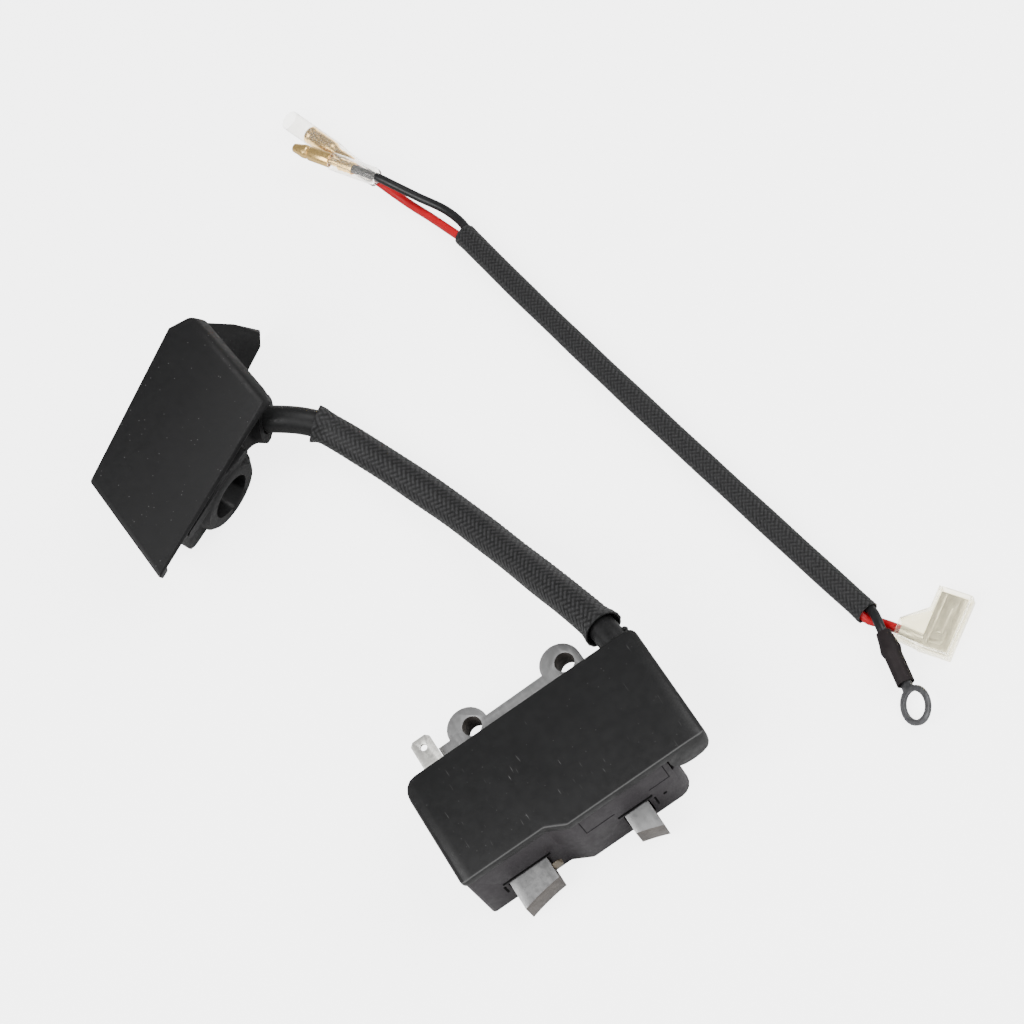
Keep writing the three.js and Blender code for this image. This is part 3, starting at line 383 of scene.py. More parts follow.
@dataclass(frozen=True)
class Laminations:
    """Stacked sheet steel: ground faces that darken to the pole tips, and edges with one line per sheet."""

    name: str
    face: Colour
    edge: Colour
    sheet_mm: float = 0.5
    tips_mm: tuple[float, float] = (-34.0, -43.0)

    def material(self) -> Material:
        """Builds the finish."""
        r = Recipe(self.name, self.face, 0.36, 0.75)
        normal = r.node("SeparateXYZ", Vector=r.node("NewGeometry").outputs["True Normal"]).outputs["Z"]
        side = r.ramp(r.math("ABSOLUTE", normal), 0.8, 0.4)
        up = r.node("SeparateXYZ", Vector=r.place()).outputs["Z"]
        wobble = r.math("MULTIPLY", r.noise(0.25, 2), 0.12)
        sheets = r.math("MULTIPLY", r.math("ADD", up, wobble), 2 * math.pi / self.sheet_mm)
        line = r.ramp(r.math("SINE", sheets), -0.95, -0.2)
        stained = r.mix(r.ramp(r.noise(0.3, 5), 0.35, 0.7), self.edge, shade(self.edge, 0.62))
        sides = r.mix(line, shade(self.edge, 0.25), stained)
        faces = r.mix(r.ramp(r.noise(0.16, 5), 0.35, 0.72), self.face, shade(self.face, 0.78))
        grain = r.noise(1.6, 2, r.place((1, 0.05, 1), (0, 0, 0.35)))
        bright = shade(self.face, 1.35)
        faces = r.mix(r.ramp(grain, 0.5, 0.75, 0, 0.35), faces, bright)
        tips = r.ramp(r.node("SeparateXYZ", Vector=r.place()).outputs["Y"], *self.tips_mm, 0.0, 0.5)
        faces = r.mix(tips, faces, shade(self.face, 0.45))
        r.paint(r.mix(side, faces, sides))
        r.rough(r.ramp(r.noise(0.9, 3), 0.3, 0.7, 0.3, 0.46))
        r.relief(r.math("MULTIPLY", line, side), 0.05)
        r.relief(r.noise(5.0, 2), 0.01)
        return r.material


@dataclass(frozen=True)
class Plated:
    """Drawn or plated metal with soft tarnish."""

    name: str
    colour: Colour
    roughness: float = 0.28
    tarnish: float = 0.6

    def material(self) -> Material:
        """Builds the finish."""
        r = Recipe(self.name, self.colour, self.roughness, 0.9)
        dull = shade(self.colour, self.tarnish)
        r.paint(r.mix(r.ramp(r.noise(0.7, 5), 0.42, 0.7), self.colour, dull))
        r.rough(r.ramp(r.noise(1.8, 4), 0.3, 0.7, self.roughness - 0.06, self.roughness + 0.14))
        r.relief(r.noise(3.0, 4), 0.012)
        return r.material


@dataclass(frozen=True)
class ClearVinyl:
    """Soft clear tubing and covers, faintly yellow where thick."""

    name: str
    tint: Colour
    roughness: float = 0.16
    through: float = 0.9

    def material(self) -> Material:
        """Builds the finish."""
        r = Recipe(self.name, self.tint, self.roughness)
        r.paint(r.mix(r.ramp(r.noise(0.5, 4), 0.35, 0.7), self.tint, shade(self.tint, 0.93)))
        r.shader.inputs["Transmission Weight"].default_value = self.through
        r.shader.inputs["IOR"].default_value = 1.18
        r.rough(r.ramp(r.noise(0.8, 3), 0.3, 0.7, self.roughness - 0.06, self.roughness + 0.12))
        r.relief(r.noise(0.55, 3), 0.03)
        return r.material


@dataclass(frozen=True)
class WoundWire:
    """Enamelled wire wound in close turns across one axis."""

    name: str
    colour: Colour
    axis: int
    pitch_mm: float = 0.25

    def material(self) -> Material:
        """Builds the finish."""
        r = Recipe(self.name, self.colour, 0.3, 0.8)
        along = r.node("SeparateXYZ", Vector=r.place()).outputs[self.axis]
        turns = r.ramp(r.math("SINE", r.math("MULTIPLY", along, 2 * math.pi / self.pitch_mm)), -1, 1)
        # The grooves between turns are painted darker: painted shade.
        r.paint(r.mix(turns, shade(self.colour, 0.4), self.colour))
        r.relief(turns, 0.08)
        return r.material


@dataclass(frozen=True)
class Finishes:
    """Every finish of the object, built once."""

    # The top moulding has a painted highlight and painted shade along its front lip.
    top: Material = MouldedPlastic("housing_top_black", (0.0078, 0.0078, 0.008), (0.14, 0.14, 0.14),
                                   0.4, 0.01, 0.8, 0.35, painted_lip_light=0.5).material()
    # lower_moulding: black plastic lifted to a purplish grey, lighter than the top, by painted reflection on
    # its smoother vertical faces.
    body: Material = MouldedPlastic(
        "lower_moulding", (0.026, 0.0225, 0.0255), (0.09, 0.09, 0.09), 0.42, 0.014, 0.35, 0.3).material()
    cover: Material = MouldedPlastic(
        "cover_black", (0.0045, 0.0045, 0.0047), (0.05, 0.05, 0.05), 0.5, 0.012, 0.25, 0.9).material()
    rubber: Material = SoftRubber("boot_rubber", (0.0045, 0.0045, 0.0048), 0.5).material()
    lead: Material = SoftRubber("lead_rubber", (0.005, 0.005, 0.0053), 0.42).material()
    black_wire: Material = SoftRubber("black_insulation", (0.008, 0.008, 0.0085), 0.35).material()
    red_wire: Material = SoftRubber("red_insulation", (0.36, 0.003, 0.008), 0.35, 1.12).material()
    shrink: Material = SoftRubber("heat_shrink", (0.011, 0.0085, 0.009), 0.6, gloss=0.12).material()
    steel: Material = Laminations("core_laminations", (0.33, 0.33, 0.33), (0.2, 0.18, 0.165)).material()
    rivet: Material = Plated("rivet_steel", (0.25, 0.25, 0.25), 0.35).material()
    tin: Material = Plated("tinned_metal", (0.86, 0.85, 0.8), 0.42, 0.8).material()
    ring: Material = Plated("tinned_ring", (0.14, 0.14, 0.145), 0.4, 0.75).material()
    brass: Material = Plated("bullet_brass", (0.86, 0.58, 0.22), 0.24, 0.9).material()
    clear: Material = ClearVinyl("clear_sleeve", (0.98, 0.97, 0.94), 0.1, 0.95).material()
    hood: Material = ClearVinyl("clear_hood", (0.97, 0.93, 0.78), 0.12, 0.93).material()
    copper_y: Material = WoundWire("copper_across_y", (0.72, 0.3, 0.12), 1).material()
    copper_x: Material = WoundWire("copper_across_x", (0.72, 0.3, 0.12), 0).material()
    nylon: Material = SoftRubber("bobbin_nylon", (0.72, 0.69, 0.6), 0.4, 1.05).material()
    resin: Material = SoftRubber("potting_resin", (0.02, 0.02, 0.022), 0.2).material()
    # gap: the black of the slits and panel lines, and of the strips of painted shadow above the legs.
    gap: Material = SoftRubber("gap_and_shadow_black", (0.0015, 0.0015, 0.0015), 0.7, 1.1, 0.05).material()
    resin_drop: Material = SoftRubber("resin_drop", (0.09, 0.075, 0.055), 0.22, 1.5, 0.5).material()
    board: Material = SoftRubber("board_green", (0.02, 0.14, 0.05), 0.35).material()
    capacitor: Material = SoftRubber("capacitor_dip", (0.4, 0.07, 0.02), 0.3).material()
    lead_weave: Material = WovenSleeve(
        "lead_weave", (0.0085, 0.0085, 0.009), (0.0012, 0.0012, 0.0012), LEAD_CARRIERS).material()
    stop_weave: Material = WovenSleeve(
        "stop_weave", (0.0075, 0.0075, 0.008), (0.0012, 0.0012, 0.0012), STOP_CARRIERS).material()


# -------- modelling helpers
def pick(piece: Piece) -> None:
    """Makes one object the only selected and active one."""
    bpy.ops.object.select_all(action="DESELECT")
    piece.select_set(True)
    bpy.context.view_layer.objects.active = piece


@contextmanager
def editing(piece: Piece) -> Iterator[bmesh.types.BMesh]:
    """Opens a piece in edit mode with nothing selected.

    Args:
        piece: the mesh object to edit.

    Returns:
        The edit mesh, whose elements can be selected by their place.
    """
    pick(piece)
    bpy.ops.object.mode_set(mode="EDIT")
    bpy.ops.mesh.select_all(action="DESELECT")
    yield bmesh.from_edit_mesh(piece.data)
    bpy.ops.object.mode_set(mode="OBJECT")


def finish(piece: Piece, name: str, material: Material, body: Body,
           replaces: Sequence[str] = (), smooth_deg: float = 32.0) -> Piece:
    """Names, smooths and dresses a piece, and lets it ride on its body.

    Args:
        piece: the object, with its place in its mesh.
        name: the piece's name.
        material: its finish.
        body: the body that it rides on.
        replaces: the CAD nodes that it stands for.
        smooth_deg: edges sharper than this stay sharp.

    Returns:
        The piece.
    """
    pick(piece)
    bpy.ops.object.transform_apply(location=True, rotation=True, scale=True)
    piece.name = piece.data.name = name
    piece.data.materials.clear()
    piece.data.materials.append(material)
    bpy.ops.object.shade_smooth_by_angle(angle=math.radians(smooth_deg))
    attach(piece, body.value)
    if replaces:
        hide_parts(*replaces)
    log.info("%s on %s, %d faces", name, body.value, len(piece.data.polygons))
    return piece


def apply(piece: Piece, kind: str, **settings: object) -> None:
    """Adds a modifier with these settings and applies it."""
    pick(piece)
    modifier = piece.modifiers.new(kind.lower(), kind)
    for key, value in settings.items():
        setattr(modifier, key, value)
    bpy.ops.object.modifier_apply(modifier=modifier.name)


def spun(profile: Sequence[Point], steps: int = 40) -> Piece:
    """Spins a profile about Z into a closed shell.

    Args:
        profile: (radius, height) points in metres. It starts and ends on the axis, or it closes on itself.
        steps: how many steps one turn takes.

    Returns:
        The new object.
    """
    points = [(float(r), float(z)) for r, z in profile]
    if points[0][0] > 0:
        points.append(points[0])
    bpy.ops.object.select_all(action="DESELECT")
    bpy.ops.mesh.primitive_plane_add(size=MM, location=(0, 0, 0))
    piece = bpy.context.object
    with editing(piece):
        bpy.ops.mesh.select_all(action="SELECT")
        bpy.ops.mesh.merge(type="CENTER")
        bpy.ops.mesh.select_all(action="SELECT")
        bpy.ops.transform.translate(value=(points[0][0], 0, points[0][1]))
        here = points[0]
        for r, z in points[1:]:
            step = (r - here[0], 0, z - here[1])
            bpy.ops.mesh.extrude_region_move(TRANSFORM_OT_translate={"value": step})
            here = (r, z)
        bpy.ops.mesh.select_all(action="SELECT")
        bpy.ops.mesh.spin(steps=steps, angle=2 * math.pi, center=(0, 0, 0), axis=(0, 0, 1))
        bpy.ops.mesh.select_all(action="SELECT")
        bpy.ops.mesh.remove_doubles(threshold=0.004 * MM)
        bpy.ops.mesh.normals_make_consistent(inside=False)
    return piece


def frame_at(origin: Point, along: Point, sideways: Point = (0, 0, 1)) -> Matrix:
    """A frame at a point, with Z along one direction and X as near as it can be to another."""
    z = Vector(along).normalized()
    x = Vector(sideways)
    x = (x - z * x.dot(z)).normalized()
    y = z.cross(x)
    matrix = Matrix((x, y, z)).transposed().to_4x4()
    matrix.translation = Vector(origin)
    return matrix


def adopt(node: str, bevel_mm: float, segments: int = 2, angle_deg: float = 30.0,
          weight: Callable[[Vector, Vector], float] | None = None) -> Piece:
    """Copies a CAD node's mesh, cleans it and rounds its edges.

    Args:
        node: the CAD node.
        bevel_mm: the width of the rounding.
        segments: how many faces the rounding has.
        angle_deg: edges sharper than this are rounded.
        weight: share of the rounding that an edge between two points gets.

    Returns:
        The new object.
    """
    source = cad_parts[node]
    piece = bpy.data.objects.new(node + "_copy", source.data.copy())
    bpy.context.scene.collection.objects.link(piece)
    with editing(piece):
        bpy.ops.mesh.select_all(action="SELECT")
        bpy.ops.mesh.remove_doubles(threshold=0.003 * MM)
        bpy.ops.mesh.dissolve_limited(angle_limit=math.radians(1.2))
    if weight is not None:
        mesh = bmesh.new()
        mesh.from_mesh(piece.data)
        layers = mesh.edges.layers.float
        layer = layers.get("bevel_weight_edge") or layers.new("bevel_weight_edge")
        for edge in mesh.edges:
            if edge.is_convex and edge.calc_face_angle(0.0) > math.radians(angle_deg):
                edge[layer] = weight(edge.verts[0].co / MM, edge.verts[1].co / MM)
        mesh.to_mesh(piece.data)
        mesh.free()
    if bevel_mm > 0:
        apply(piece, "BEVEL", width=bevel_mm * MM, segments=segments, use_clamp_overlap=weight is None,
              limit_method="ANGLE" if weight is None else "WEIGHT", angle_limit=math.radians(angle_deg),
              miter_outer="MITER_ARC")
    return piece


def slab(name: str, low: Point, high: Point, edge_mm: float, material: Material, body: Body) -> Piece:
    """Makes a small rounded block.

    Args:
        name: the piece's name.
        low: its lowest corner, in millimetres.
        high: its highest corner, in millimetres.
        edge_mm: the width of its rounding.
        material: its finish.
        body: the body that it rides on.

    Returns:
        The new object.
    """
    bpy.ops.object.select_all(action="DESELECT")
    bpy.ops.mesh.primitive_cube_add(size=1.0, location=(0, 0, 0))
    piece = bpy.context.object
    with editing(piece):
        bpy.ops.mesh.select_all(action="SELECT")
        bpy.ops.transform.resize(value=[(b - a) * MM for a, b in zip(low, high, strict=True)])
        bpy.ops.transform.translate(value=[(a + b) / 2 * MM for a, b in zip(low, high, strict=True)])
        bpy.ops.mesh.bevel(offset=edge_mm * MM, segments=2, affect="EDGES")
    return finish(piece, name, material, body, (), 40)


def run_of(path: np.ndarray) -> np.ndarray:
    """Distance along a path at each of its points."""
    return np.concatenate([[0], np.cumsum(np.linalg.norm(np.diff(path, axis=0), axis=1))])


def smooth_route(points: Sequence[Point], spacing: float) -> np.ndarray:
    """Points on the centripetal Catmull-Rom curve through a route, evenly spaced along it.

    Args:
        points: the route in metres.
        spacing: the wanted distance between two points.

    Returns:
        An array of points, one row each.
    """
    p = np.array(points, float)
    p = np.vstack([2 * p[0] - p[1], p, 2 * p[-1] - p[-2]])
    fine = []
    for i in range(1, len(p) - 2):
        quad = p[i - 1:i + 3]
        gaps = np.linalg.norm(np.diff(quad, axis=0), axis=1) ** 0.5
        t = np.concatenate([[0], np.cumsum(gaps)])
        for s in np.linspace(t[1], t[2], 24, endpoint=False):
            a = [(t[k + 1] - s) / (t[k + 1] - t[k]) * quad[k] + (s - t[k]) / (t[k + 1] - t[k]) * quad[k + 1]
                 for k in range(3)]
            b = [(t[k + 2] - s) / (t[k + 2] - t[k]) * a[k] + (s - t[k]) / (t[k + 2] - t[k]) * a[k + 1]
                 for k in range(2)]
            fine.append((t[2] - s) / (t[2] - t[1]) * b[0] + (s - t[1]) / (t[2] - t[1]) * b[1])
    fine.append(p[-2])
    fine = np.array(fine)
    run = run_of(fine)
    count = max(int(round(run[-1] / spacing)), 4)
    wanted = np.linspace(0, run[-1], count + 1)
    return np.stack([np.interp(wanted, run, fine[:, k]) for k in range(3)], axis=1)


def ring_axes(path: np.ndarray) -> tuple[np.ndarray, np.ndarray]:
    """Two directions across a path at each point, carried along it without twist."""
    tangents = np.gradient(path, axis=0)
    tangents /= np.linalg.norm(tangents, axis=1)[:, None]
    side = np.cross(tangents[0], (0.0, 0.0, 1.0))
    sides = []
    for t in tangents:
        side = side - t * side.dot(t)
        side = side / np.linalg.norm(side)
        sides.append(side)
    sides = np.array(sides)
    return sides, np.cross(tangents, sides)


def swept(name: str, path: np.ndarray, outer: np.ndarray, sides: int, inner: np.ndarray | None = None,
          attributes: dict[str, np.ndarray] | None = None) -> Piece:
    """A closed tube along a path, with a UV map that follows it.

    Args:
        name: the object's name.
        path: ring centres.
        outer: outer radius per ring and side.
        sides: points per ring.
        inner: inner radius per ring, or None for a solid cord.
        attributes: values per ring and side for point attributes of the outer wall.

    Returns:
        The new object.
    """
    across, up = ring_axes(path)
    angle = np.linspace(0, 2 * np.pi, sides, endpoint=False)
    rays = across[:, None, :] * np.cos(angle)[None, :, None] + up[:, None, :] * np.sin(angle)[None, :, None]
    walls = [path[:, None, :] + rays * outer[:, :, None]]
    if inner is not None:
        walls.append(path[:, None, :] + rays * inner[:, None, None])
    count = len(path)
    verts = np.concatenate([w.reshape(-1, 3) for w in walls])
    round_length = 2 * np.pi * float(outer.mean())
    v_at = run_of(path) / round_length
    faces, loops = [], []
    for w in range(len(walls)):
        base = w * count * sides
        for i in range(count - 1):
            for j in range(sides):
                k = (j + 1) % sides
                quad = [base + i * sides + j, base + i * sides + k, base + (i + 1) * sides + k,
                        base + (i + 1) * sides + j]
                uv = [(j / sides, v_at[i]), ((j + 1) / sides, v_at[i]), ((j + 1) / sides, v_at[i + 1]),
                      (j / sides, v_at[i + 1])]
                faces.append(quad if w == 0 else quad[::-1])
                loops.extend(uv if w == 0 else uv[::-1])
    for i in (0, count - 1):
        ring = [i * sides + j for j in range(sides)]
        if inner is None:
            faces.append(ring[::-1] if i == 0 else ring)
            loops.extend([(0.0, v_at[i])] * sides)
            continue
        for j in range(sides):
            k = (j + 1) % sides
            quad = [i * sides + j, i * sides + k, (count + i) * sides + k, (count + i) * sides + j]
            faces.append(quad[::-1] if i == 0 else quad)
            loops.extend([(j / sides, v_at[i])] * 4)
    mesh = bpy.data.meshes.new(name)
    mesh.from_pydata(verts.tolist(), [], faces)
    layer = mesh.uv_layers.new(name="UVMap")
    layer.data.foreach_set("uv", np.array(loops, np.float32).ravel())
    for key, values in (attributes or {}).items():
        attribute = mesh.attributes.new(key, "FLOAT", "POINT")
        full = np.zeros(len(verts), np.float32)
        full[:values.size] = values.ravel()
        attribute.data.foreach_set("value", full)
    piece = bpy.data.objects.new(name, mesh)
    bpy.context.scene.collection.objects.link(piece)
    with editing(piece):
        bpy.ops.mesh.select_all(action="SELECT")
        bpy.ops.mesh.normals_make_consistent(inside=False)
    return piece


def braid(name: str, path: np.ndarray, radius: float, inner: float, carriers: int, sides: int, rise: float,
          flare: float) -> Piece:
    """A braided sleeve whose yarns pass over two and under two.

    Args:
        name: the object's name.
        path: ring centres.
        radius: the sleeve's outer radius under the yarns' rise.
        inner: its inner radius.
        carriers: yarns each way round.
        sides: points per ring.
        rise: how far a yarn stands proud.
        flare: how much wider the cut ends are.

    Returns:
        The new object.
    """
    s = run_of(path)
    around = np.linspace(0, 1, sides, endpoint=False)[None, :] * carriers
    along = (s / (2 * np.pi * radius))[:, None] * carriers
    left, right = around + along, around - along
    cell = (np.floor(left) + np.floor(right)) % 4
    over = (cell < 2).astype(float)
    across = np.where(over > 0.5, left - np.floor(left), right - np.floor(right))
    lengthwise = np.where(over > 0.5, right - np.floor(right), left - np.floor(left))
    height = np.sin(np.pi * across) ** 0.6 * (0.75 + 0.25 * np.sin(np.pi * lengthwise))
    ends = np.exp(-((s / (2.2 * MM)) ** 2)) + np.exp(-(((s[-1] - s) / (2.2 * MM)) ** 2))
    swell = 1 + 0.012 * np.sin(s / (9 * MM)) + 0.01 * np.sin(s / (3.7 * MM) + 1.0)
    base = (radius * swell + flare * ends)[:, None]
    frayed = 1 + 0.02 * ends[:, None] * np.sin(around * 2 * np.pi / carriers * 3 + 0.6)
    outer = base * frayed + rise * (height - 0.5)
    return swept(name, path, outer, sides, inner * swell + flare * ends,
                 {"rise": height.astype(np.float32), "lay": over.astype(np.float32)})


# -------- camera
@dataclass
class Studio:
    """Camera, floor and lights."""

    place: Point = (0.02292882, -0.26904631, 0.54398637)
    right: Point = (0.82313637, -0.49176711, -0.28392187)
    down: Point = (-0.56784375, -0.71285701, -0.41156818)
    lens_mm: float = 90.46
    sensor_mm: float = 36.0
    floor_size: float = 6.0
    floor_glow: float = 4.0
    world_strength: float = 0.34
    aim: Point = (0.015, 0.06, 0.0)
    lights: Sequence[tuple[str, Point, float, float]] = (
        ("key", (-0.75, -0.15, 0.95), 0.9, 25.0),
        ("fill", (0.85, -0.1, 0.9), 0.9, 19.0),
        ("front", (0.0, -1.0, 0.75), 0.7, 2.5),
    )

    def add_camera(self) -> None:
        """Creates the camera and makes it the scene's."""
        data = bpy.data.cameras.new("camera")
        data.lens = self.lens_mm
        data.sensor_width = self.sensor_mm
        data.clip_start = 0.01
        camera = bpy.data.objects.new("camera", data)
        x, y = Vector(self.right), -Vector(self.down)
        matrix = Matrix((x, y, x.cross(y))).transposed().to_4x4()
        matrix.translation = Vector(self.place)
        camera.matrix_world = matrix
        bpy.context.scene.collection.objects.link(camera)
        bpy.context.scene.camera = camera

    def add_floor(self) -> None:
        """Lays the pale floor just under the object."""
        bpy.ops.object.select_all(action="DESELECT")
        bpy.ops.mesh.primitive_plane_add(size=self.floor_size, location=(0, 0, FLOOR_Z))
        floor = bpy.context.object
        floor.name = "floor"
        r = Recipe("pale_floor", (0.55, 0.55, 0.55), 0.95, gloss=0.1)
        r.paint(r.mix(r.noise(0.002, 2), (0.54, 0.54, 0.54), (0.56, 0.56, 0.56)))
        rays = r.node("LightPath")
        seen = r.math("MAXIMUM", rays.outputs["Is Camera Ray"], rays.outputs["Is Transmission Ray"])
        r.shader.inputs["Emission Color"].default_value = (1, 1, 1, 1)
        r.tree.links.new(r.math("MULTIPLY", seen, self.floor_glow), r.shader.inputs["Emission Strength"])
        floor.data.materials.append(r.material)

    def add_light(self, name: str, place: Point, size: float, power: float) -> None:
        """Adds a square area light that points at the object's middle."""
        data = bpy.data.lights.new(name, "AREA")
        data.size = size
        data.energy = power
        light = bpy.data.objects.new(name, data)
        aim = Vector(self.aim) - Vector(place)
        turn = aim.to_track_quat("-Z", "Y").to_matrix().to_4x4()
        light.matrix_world = Matrix.Translation(Vector(place)) @ turn
        bpy.context.scene.collection.objects.link(light)

    def add_lights(self) -> None:
        """Soft studio light from above and both sides."""
        world = bpy.data.worlds.new("studio")
        world.use_nodes = True
        world.node_tree.nodes["Background"].inputs["Color"].default_value = (1, 1, 1, 1)
        world.node_tree.nodes["Background"].inputs["Strength"].default_value = self.world_strength
        bpy.context.scene.world = world
        for name, place, size, power in self.lights:
            self.add_light(name, place, size, power)


# -------- cords
@dataclass
class PlugLead:
    """The plug lead in its loose braided sleeve."""

    finishes: Finishes
    sides: int = 32
    sleeve_sides: int = 84
    sleeve_radius: float = 4.12 * MM
    sleeve_inner: float = 3.75 * MM
    sleeve_from: float = 0.108
    sleeve_to: float = 0.805
    yarn_rise: float = 0.22 * MM
    end_flare: float = 0.75 * MM
    bend_from: Point = (0.0223, 0.0088, 0.014)
    bend_to: Point = (-0.0018, 0.0896, 0.0036)

    def build(self) -> None:
        path = smooth_route(LEAD_ROUTE, 1.2 * MM)
        radii = np.full((len(path), self.sides), LEAD_RADIUS)
        lead = finish(swept("plug_lead", path, radii, self.sides), "plug_lead", self.finishes.lead, Body.ROOT,
                      ["ht_lead"], 60)
        lead.parent = None
        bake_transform(lead, "root", "plug_cap", self.bend_from, self.bend_to)
        fine = smooth_route(LEAD_ROUTE, 0.3 * MM)
        part = fine[int(len(fine) * self.sleeve_from):int(len(fine) * self.sleeve_to)]
        sleeve = braid("lead_sleeve", part, self.sleeve_radius, self.sleeve_inner, LEAD_CARRIERS,
                       self.sleeve_sides, self.yarn_rise, self.end_flare)
        finish(sleeve, "lead_sleeve", self.finishes.lead_weave, Body.ROOT, ["lead_braid"], 80)
        sleeve.parent = None
        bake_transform(sleeve, "root", "plug_cap", self.bend_from, self.bend_to)


@dataclass
class StopLead:
    """The loose two-wire lead: wires, braided sleeve, bullets, ring and flag terminals."""

    finishes: Finishes
    sleeve_radius: float = 2.86 * MM
    sleeve_inner: float = 2.55 * MM
    sleeve_sides: int = 70
    yarn_rise: float = 0.2 * MM
    end_flare: float = 0.1 * MM
    wire_sides: int = 20
    flag_middle: Point = (89.4, -43.4, 0)
    flag_turn_deg: float = 33.0

    def build_cords(self) -> None:
        """Makes the two wires and their sleeve."""
        for name, route, node, dress, slot in (
            ("black_lead", BLACK_ROUTE, "black_wire", self.finishes.black_wire, "black_rubber"),
            ("red_lead", RED_ROUTE, "red_wire", self.finishes.red_wire, "red_insulation"),
        ):
            path = smooth_route(route, 0.8 * MM)
            radii = np.full((len(path), self.wire_sides), WIRE_RADIUS)
            tube = swept(name, path, radii, self.wire_sides)
            piece = finish(tube, name, dress, Body.STOP_LEAD, [node], 60)
        path = smooth_route(HARNESS_ROUTE, 0.3 * MM)
        piece = braid("stop_sleeve", path, self.sleeve_radius, self.sleeve_inner, STOP_CARRIERS,
                      self.sleeve_sides, self.yarn_rise, self.end_flare)
        finish(piece, "stop_sleeve", self.finishes.stop_weave, Body.STOP_LEAD, ["harness_braid"], 80)

    def build_bullets(self) -> None:
        """Makes the brass bullet, the socket and their clear sleeves."""
        f = self.finishes
        male, female = (MALE_TIP, MALE_TAIL), (FEMALE_MOUTH, FEMALE_TAIL)
        for name, profile, steps, (tip, tail), dress, body, node, smooth_deg, slot in (
            ("bullet", BULLET_PROFILE, 48, male, f.brass, Body.STOP_LEAD, "male_bullet", 35, "brass"),
            ("socket", SOCKET_PROFILE, 48, female, f.brass, Body.STOP_LEAD, "female_bullet", 35, "brass"),
            ("slid_sleeve", SLID_SLEEVE_PROFILE, 40, male, f.clear, Body.MALE_SLEEVE, "male_bullet_sleeve",
             50, "clear_vinyl"),
            ("long_sleeve", LONG_SLEEVE_PROFILE, 40, female, f.clear, Body.FEMALE_SLEEVE,
             "female_bullet_sleeve", 50, "clear_vinyl"),
        ):
            piece = spun([(a * MM, b * MM) for a, b in profile], steps)
            piece.data.transform(frame_at(tip, Vector(tail) - Vector(tip)))
            finish(piece, name, dress, body, [node], smooth_deg)

    def build_terminals(self) -> None:
        """Makes the ring and flag terminals with their covers."""
        f = self.finishes
        for node, edge_mm, segments, name, dress, smooth_deg, slot in (
            ("ring_terminal", 0.12, 2, "earth_ring", f.ring, 35, "tinned_brass"),
            ("ring_heat_shrink", 0.1, 2, "ring_shrink", f.shrink, 60, "black_rubber"),
            ("flag_terminal", 0.12, 2, "flag_receptacle", f.tin, 35, "tinned_brass"),
            ("flag_insulator", 0.55, 3, "flag_hood", f.hood, 35, "clear_vinyl"),
        ):
            finish(adopt(node, edge_mm, segments), name, dress, Body.STOP_LEAD, [node], smooth_deg)

    def build_flag_details(self) -> None:
        """Makes the rolled rails and the raised window on the flag receptacle."""
        turn = Matrix.Rotation(math.radians(self.flag_turn_deg), 4, "Z")
        turn = Matrix.Translation(Vector(self.flag_middle) * MM) @ turn
        for name, low, high, edge in (
            ("flag_rail_1", (-6.4, -3.0, 0.9), (6.4, -1.7, 1.2), 0.14),
            ("flag_rail_2", (-6.4, 1.7, 0.9), (6.4, 3.0, 1.2), 0.14),
            ("flag_window", (-2.9, -0.8, 0.9), (3.6, 0.8, 1.17), 0.12),
            ("flag_stop", (-5.6, -1.6, 0.9), (-4.6, 1.6, 1.15), 0.1),
        ):
            piece = slab(name, low, high, edge, self.finishes.tin, Body.STOP_LEAD)
            piece.data.transform(turn)

    def build(self) -> None:
        """Makes what is on the lead."""
        self.build_flag_details()
        self.build_bullets()
        self.build_terminals()


